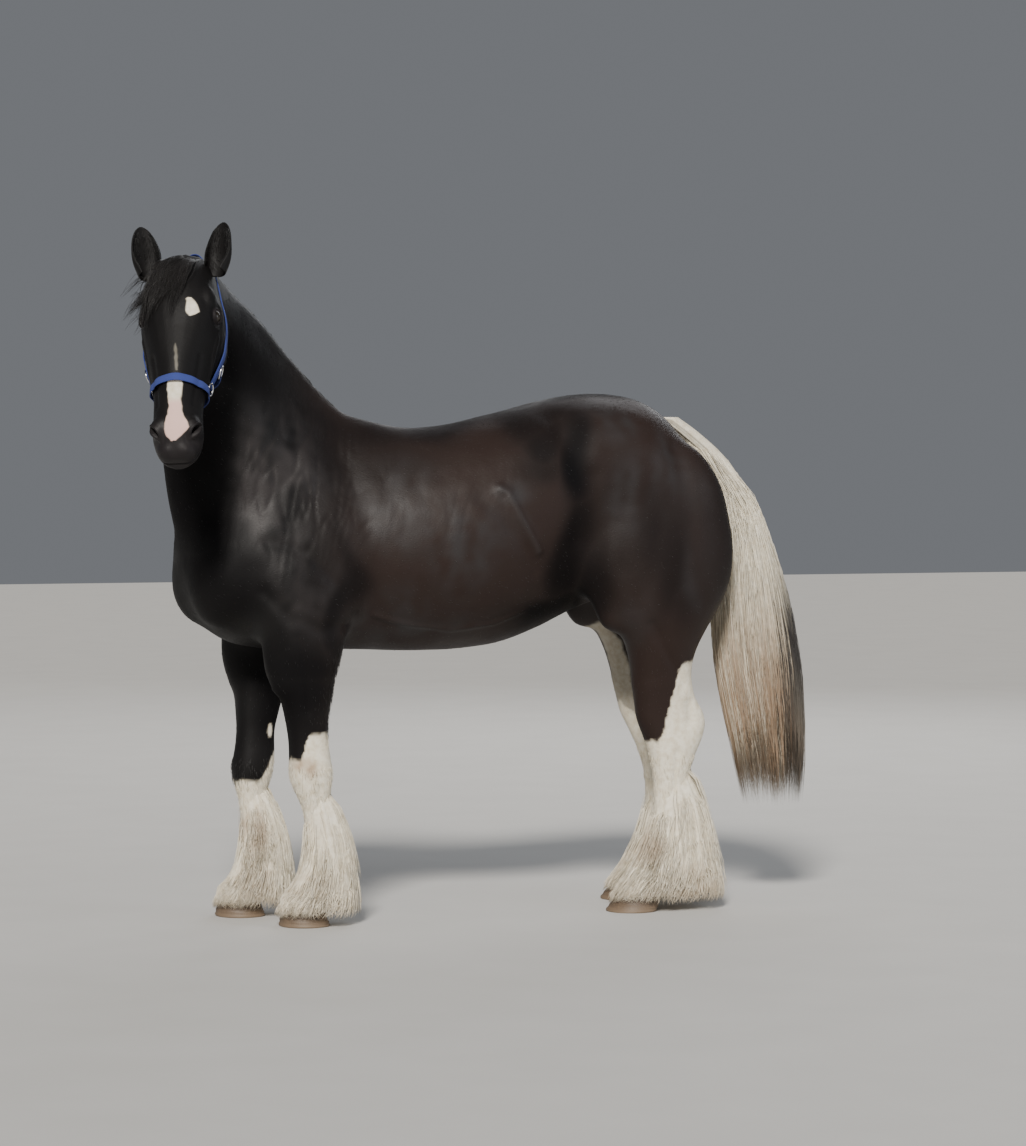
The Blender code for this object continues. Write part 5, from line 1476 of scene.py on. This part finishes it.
def ear_hair(name, grid):
    """Tufts from the rims across the cup, and inside it."""
    draw = np.random.default_rng(HAIR_SEED + len(name))
    count = 420
    row = draw.integers(1, 19, count)
    column = np.where(draw.random(count) < 0.5, 0, 18)
    inner = draw.random(count) < 0.35
    column = np.where(inner, draw.integers(4, 15, count), column)
    base = grid[row, column]
    middle = grid[row, 9]
    tip = grid[np.minimum(row + 5, 24), np.where(column < 9, 3, 15)]
    out = np.array((HEAD_FRAME.to_3x3() @ Vector((0, 1, 0))).normalized())
    lean = (tip - base) + 0.25 * (middle - base) + out * 0.016
    lean *= draw.uniform(0.35, 0.9, (count, 1)) * 0.75
    t = np.linspace(0, 1, 5)[None, :, None]
    paths = base[:, None] + lean[:, None] * t + out * 0.008 * np.sin(np.pi * t)
    outs = np.repeat(np.repeat(out[None, None], count, 0), 5, 1)
    values = {"vary": draw.random((count, 1))}
    mesh = strand_mesh(f"{name}_hair", paths, outs, np.full(count, 0.0012), values, root_uv(base))
    place(mesh, f"{name}_hair", hair_material(f"{name}_hair"), "black_coat")


# Eyes: a dark globe under a clear wet coat.
def eye_material():
    shade = Shade("eye")
    way = shade.where((1.0, 1.0, 1.0), "Generated")
    streaks = shade.noise(30.0, 3.0, way)
    colour = shade.mix(shade.fit(streaks, 0.35, 0.65), (0.012, 0.006, 0.003), (0.030, 0.014, 0.007))
    return shade.set(
        Base_Color=colour, Roughness=0.06, Coat_Weight=1.0, Coat_Roughness=0.02, Specular_IOR_Level=0.7
    )


def eye(name, way):
    bm = bmesh.new()
    bmesh.ops.create_uvsphere(bm, u_segments=40, v_segments=24, radius=EYE_RADIUS - GAP)
    centre = HEAD_FRAME @ Vector((EYE_CENTRE[0], EYE_CENTRE[1], EYE_CENTRE[2] * way))
    looks = HEAD_FRAME.to_3x3() @ Vector((EYE_LOOKS[0], EYE_LOOKS[1], EYE_LOOKS[2] * way)).normalized()
    for vertex in bm.verts:
        facing = max(vertex.co.normalized().dot(looks), 0)
        vertex.co *= 1 + 0.03 * facing ** 6
    bm.transform(Matrix.Translation(centre))
    place(mesh_from(bm, name), f"{name}_globe", bpy.data.materials["eye"], "eye", [name])


# Hooves: flared horn with growth rings, a rounded toe and a worn edge.
def horn_material():
    shade = Shade("horn")
    streaks = shade.noise(14.0, 5.0, shade.where((40.0, 40.0, 2.0)))
    rings = shade.noise(5.0, 2.0, shade.where((3.0, 3.0, 60.0)))
    colour = shade.mix(shade.fit(streaks, 0.35, 0.65), (0.035, 0.024, 0.017), (0.13, 0.088, 0.055))
    colour = shade.mix(shade.fit(rings, 0.5, 0.75, 0.0, 0.4), colour, (0.17, 0.12, 0.08))
    height = shade.node("ShaderNodeSeparateXYZ", {0: shade.where()}).outputs[2]
    colour = shade.mix(shade.fit(height, 0.035, 0.0, 0.0, 0.75), colour, (0.24, 0.17, 0.11))
    normal = shade.bump(streaks, 0.3, 0.002, shade.bump(rings, 0.5, 0.003))
    return shade.set(Base_Color=colour, Roughness=0.55, Normal=normal)


def hoof(pair, side):
    around, up = 64, 26
    where = foot_place(pair, side)
    rings = []
    for k in range(up):
        v = k / (up - 1)
        ring = []
        for i in range(around):
            angle = 2 * math.pi * i / around
            toe = 0.5 - 0.5 * math.cos(angle)
            radius = SOLE_RADIUS + (CORONET_RADIUS - SOLE_RADIUS) * v ** 0.9
            radius += 0.0012 * math.sin(v * 34 + 0.5 * math.sin(angle * 2)) * (1 - v)
            radius -= 0.004 * max(0, 1 - v * 14)
            radius -= 0.016 * (1 - v) * max(0, math.cos(angle)) ** 6
            top = HEEL_HEIGHT + (TOE_HEIGHT - HEEL_HEIGHT) * toe
            ring.append((
                where.x + CORONET_SETBACK[pair] * v + radius * math.cos(angle),
                where.y + radius * math.sin(angle),
                top * v,
            ))
        rings.append(ring)
    name = f"hoof_{pair}_{side}"
    place(mesh_from(loft(rings), name), f"{name}_horn", bpy.data.materials["horn"], "hoof", [name])


# Halter: woven webbing laid on the skin, joined by plated rings.
def webbing_material():
    shade = Shade("webbing")
    uv = shade.where((1.0, 1.0, 1.0), "UV")
    across = shade.node("ShaderNodeSeparateXYZ", {0: uv}).outputs[1]
    weave = shade.node(
        "ShaderNodeTexWave", {"Vector": uv, "Scale": 260.0, "Distortion": 1.2, "Detail": 2.0}
    ).outputs["Fac"]
    ribs = shade.node(
        "ShaderNodeTexWave", {"Vector": uv, "Scale": 200.0, "Distortion": 0.5}, bands_direction="Y"
    ).outputs["Fac"]
    cloth = shade.maths("MULTIPLY", weave, ribs)
    colour = shade.mix(shade.fit(cloth, 0.0, 0.7), (0.010, 0.015, 0.065), (0.034, 0.052, 0.20))
    edge = shade.fit(
        shade.maths("ABSOLUTE", shade.maths("SUBTRACT", across, WEB_WIDTH / 2), 0.0), 0.0085, 0.0105
    )
    colour = shade.mix(shade.maths("MULTIPLY", edge, 0.55), colour, (0.08, 0.11, 0.30))
    return shade.set(
        Base_Color=colour, Roughness=0.72, Normal=shade.bump(cloth, 0.6, 0.0008), Sheen_Weight=0.3
    )


def steel_material():
    shade = Shade("plated_steel")
    worn = shade.noise(60.0, 4.0)
    return shade.set(
        Base_Color=shade.mix(worn, (0.62, 0.62, 0.63), (0.80, 0.80, 0.80)),
        Metallic=1.0, Roughness=shade.fit(worn, 0.3, 0.7, 0.16, 0.38),
    )


def strap_path(tree, stops, closed, count):
    """Points on the skin under a strap, and the way out at each."""
    rows = np.array([(*where, *away) for where, away in stops], float)
    if closed:
        rows = np.concatenate([rows[-2:], rows, rows[:3]])
        table = through(rows, (len(rows) - 1) * 12 + 1)[24:-36]
    else:
        table = through(rows, count)
    turn = HEAD_FRAME.to_3x3()
    points, outs = [], []
    for row in table:
        away = (turn @ Vector(row[3:6])).normalized()
        hit = tree.ray_cast(HEAD_FRAME @ Vector(row[0:3]) + away * 0.3, -away, 0.6)
        points.append(hit[0])
        outs.append(away)
    points, outs = np.array(points), np.array(outs)
    for _ in range(6):
        if closed:
            soft = (np.roll(points, 1, 0) + np.roll(points, -1, 0)) / 2
            points = points * 0.5 + soft * 0.5
        else:
            points[1:-1] = points[1:-1] * 0.5 + (points[:-2] + points[2:]) * 0.25
    return points, outs


def skin_rise(tree, points, outs, aside):
    """How far the skin stands above each point of a strap's middle or edges."""
    start = 0.05
    rise = np.zeros(len(points))
    for i, (point, out, edge) in enumerate(zip(points, outs, aside)):
        for share in (-1.0, -0.5, 0.0, 0.5, 1.0):
            hit = tree.ray_cast(Vector(point + edge * share + out * start), Vector(-out), 2 * start)
            if hit[0] is not None:
                rise[i] = max(rise[i], start - hit[3])
    rise = np.maximum(rise, np.maximum(np.roll(rise, 1), np.roll(rise, -1)))
    for _ in range(3):
        rise = np.maximum(rise, (np.roll(rise, 1) + np.roll(rise, -1)) / 2)
    return rise


def web(tree, name, stops, closed=False, count=120, node=None):
    points, outs = strap_path(tree, stops, closed, count)
    ahead = (np.roll(points, -1, 0) - np.roll(points, 1, 0)) if closed else np.gradient(points, axis=0)
    ahead /= np.linalg.norm(ahead, axis=1, keepdims=True)
    outs -= ahead * np.sum(outs * ahead, 1, keepdims=True)
    outs /= np.linalg.norm(outs, axis=1, keepdims=True)
    across = np.cross(ahead, outs)
    half, bead = WEB_WIDTH / 2, WEB_THICKNESS / 2
    points = points + outs * skin_rise(tree, points, outs, across * half)[:, None]
    profile = [
        (-half, 0.25), (-half + 0.002, 1.0), (half - 0.002, 1.0), (half, 0.25), (half, -0.25),
        (half - 0.002, -1.0), (-half + 0.002, -1.0), (-half, -0.25),
    ]
    middle = points + outs * (WEB_LIFT + bead)
    rings = [middle + across * a + outs * b * bead for a, b in profile]
    bm = bmesh.new()
    layer = bm.loops.layers.uv.new("UVMap")
    grid = [[bm.verts.new(point) for point in ring] for ring in np.array(rings).transpose(1, 0, 2)]
    run = np.concatenate([[0], np.cumsum(np.linalg.norm(np.diff(points, axis=0), axis=1))])
    total = len(grid) if closed else len(grid) - 1
    for k in range(total):
        one, two = grid[k], grid[(k + 1) % len(grid)]
        here = run[k]
        there = run[k + 1] if k + 1 < len(run) else run[k] + run[1]
        for i in range(8):
            j = (i + 1) % 8
            face = bm.faces.new((one[i], one[j], two[j], two[i]))
            for loop, (r, c) in zip(face.loops, ((here, i), (here, j), (there, j), (there, i))):
                loop[layer].uv = (r, profile[c][0] + half)
    if not closed:
        bm.faces.new(grid[0][::-1])
        bm.faces.new(grid[-1])
    place(mesh_from(bm, name), name, bpy.data.materials["webbing"], "webbing", [node] if node else ())
    return points, outs


def torus(name, centre, out, radius, wire, node=None, squash=1.0):
    bm = bmesh.new()
    frame_there = Vector(out).to_track_quat("Z", "Y").to_matrix()
    loops = []
    for i in range(48):
        a = 2 * math.pi * i / 48
        spoke = frame_there @ Vector((math.cos(a), math.sin(a) * squash, 0))
        loops.append([
            bm.verts.new(
                Vector(centre) + spoke * (radius + wire * math.cos(b)) + Vector(out) * wire * math.sin(b)
            )
            for b in np.linspace(0, 2 * math.pi, 14, endpoint=False)
        ])
    for one, two in zip(loops, loops[1:] + loops[:1]):
        for j in range(14):
            bm.faces.new((one[j], one[(j + 1) % 14], two[(j + 1) % 14], two[j]))
    place(
        mesh_from(bm, name), name, bpy.data.materials["plated_steel"], "ring_steel", [node] if node else ()
    )


def halter(tree):
    p = NOSEBAND_PLACE
    around = []
    for i in range(12):
        a = 2 * math.pi * i / 12
        around.append(((p + 0.010 * math.cos(a), -0.09, 0.0), (0.0, math.cos(a), math.sin(a))))
    web(tree, "noseband_web", around, closed=True, node="halter_noseband")
    half = [
        ((p - 0.030, -0.105, 0.0), (0, 0, 1)),
        ((0.330, -0.125, 0.0), (0, 0, 1)),
        ((0.230, -0.140, 0.0), (0, 0, 1)),
        ((0.120, -0.135, 0.0), (0, 0.0, 1)),
        ((0.050, -0.122, 0.0), (-0.2, 0.0, 1)),
        ((0.005, -0.105, 0.0), (-0.8, 0.1, 0.75)),
    ]
    other = [(where, (x, y, -z)) for where, (x, y, z) in half[::-1]]
    web(
        tree, "crown_web", [*half, ((-0.010, -0.106, 0.0), (-1.0, 0.05, 0)), *other], count=200,
        node="halter_crown",
    )
    side = [
        ((0.338, -0.152, 0.0), (0, 0, 1)),
        ((0.334, -0.190, 0.0), (0, -0.30, 1)),
        ((0.330, -0.210, 0.0), (0, -0.90, 0.7)),
        ((0.328, -0.220, 0.0), (0, -1.0, 0.35)),
    ]
    other = [(where, (x, y, -z)) for where, (x, y, z) in side[::-1]]
    web(
        tree, "throat_web", [*side, ((0.327, -0.220, 0.0), (0, -1, 0)), *other], count=90,
        node="halter_throat",
    )
    turn = HEAD_FRAME.to_3x3()
    for side_name, way in (("left", 1), ("right", -1)):
        away = (turn @ Vector((0, 0, way))).normalized()
        for kind, where in (("cheek", (0.336, -0.142, 0.0)), ("nose", (p - 0.020, -0.105, 0.0))):
            hit = tree.ray_cast(HEAD_FRAME @ Vector(where) + away * 0.3, -away, 0.6)
            centre = hit[0] + hit[1] * (WEB_LIFT + WEB_THICKNESS + RING_WIRE)
            name = f"ring_{kind}_{side_name}"
            torus(f"{name}_wire", centre, hit[1], RING_RADIUS, RING_WIRE, name)


def head_tree(mesh):
    """The skin ahead of the cut between head and neck, which the halter lies on."""
    place, facing = HEAD_CUT
    faces = [tuple(face.vertices) for face in mesh.polygons if (face.center - place).dot(facing) > 0]
    return BVHTree.FromPolygons([vertex.co.copy() for vertex in mesh.vertices], faces)


# The horse.
skin_finish = skin_material()
eye_material()
horn_material()
webbing_material()
steel_material()
skin = sculpted_skin()
skin_values = marks(vertex_array(skin))
give_marks(skin, skin_values)
skin_tree = BVHTree.FromPolygons(
    [v.co.copy() for v in skin.vertices], [tuple(f.vertices) for f in skin.polygons]
)
short_coat(skin, skin_values)
mane_hair(skin_tree)
forelock_hair(skin_tree)
halter(head_tree(skin))
place(skin, "skin", skin_finish, "black_coat", FLESH_NODES)
tail_core()
tail_hair()
for pair in ("fore", "hind"):
    for side in SIDES:
        feather_hair(pair, side)
        hoof(pair, side)
for name, way in (("left", 1), ("right", -1)):
    ear(f"ear_{name}", way)
    eye(f"eye_{name}", way)

# Stage: a pale floor, soft light from the viewer's left and from above, and the camera where
# the photograph was taken, 12 m away at 1.5 m, 20 degrees ahead of the side view.
FLOOR_SIZE = 60.0
FLOOR_TONES = ((0.52, 0.51, 0.49), (0.58, 0.57, 0.55))
SKY_COLOUR = (0.84, 0.88, 0.95, 1.0)
SKY_STRENGTH = 0.20
LIGHTS = (
    ("SUN", "key", (-4.0, -8.0, 7.5), 4.5, math.radians(11), (1.0, 0.96, 0.90)),
    ("AREA", "fill", (6.5, -6.0, 3.5), 150, 4.0, (0.85, 0.92, 1.0)),
    ("AREA", "back", (4.5, 7.5, 6.0), 260, 5.0, (0.95, 0.97, 1.0)),
)
LIT_POINT = Vector((0, 0, 1.1))
CAMERA_TURN = math.radians(20)
CAMERA_PITCH = math.radians(1.8827)
CAMERA_PLACE = (0.1141, 12, 1.5)  # to the right, back from the animal, and up
SENSOR_WIDTH = 36
LENS = 115.63


def floor():
    bpy.ops.mesh.primitive_plane_add(size=FLOOR_SIZE, location=(0, 0, 0))
    plane = bpy.context.object
    plane.name = "floor"
    shade = Shade("pale_floor")
    grain = shade.noise(3.0, 5.0)
    plane.data.materials.append(shade.set(Base_Color=shade.mix(grain, *FLOOR_TONES), Roughness=0.85))


def soft_light(kind, name, where, energy, size, colour):
    data = bpy.data.lights.new(name, kind)
    data.energy = energy
    if kind == "SUN":
        data.angle = size
    else:
        data.size = size
    data.color = colour
    light = bpy.data.objects.new(name, data)
    bpy.context.scene.collection.objects.link(light)
    light.location = where
    light.visible_camera = False
    light.rotation_euler = (LIT_POINT - Vector(where)).to_track_quat("-Z", "Y").to_euler()


def camera():
    turn, pitch = CAMERA_TURN, CAMERA_PITCH
    aside, back, height = CAMERA_PLACE
    right = Vector((math.cos(turn), -math.sin(turn), 0))
    level = Vector((math.sin(turn), math.cos(turn), 0))
    data = bpy.data.cameras.new("camera")
    data.sensor_width = SENSOR_WIDTH
    data.lens = LENS
    seen = bpy.data.objects.new("camera", data)
    bpy.context.scene.collection.objects.link(seen)
    seen.location = right * aside - level * back + Vector((0, 0, height)) + SHIFT
    looks = level * math.cos(pitch) - Vector((0, 0, 1)) * math.sin(pitch)
    seen.rotation_euler = looks.to_track_quat("-Z", "Y").to_euler()
    bpy.context.scene.camera = seen


def sky():
    world = bpy.data.worlds.new("sky")
    bpy.context.scene.world = world
    world.use_nodes = True
    world.node_tree.nodes["Background"].inputs[0].default_value = SKY_COLOUR
    world.node_tree.nodes["Background"].inputs[1].default_value = SKY_STRENGTH


floor()
for light in LIGHTS:
    soft_light(*light)
camera()
sky()
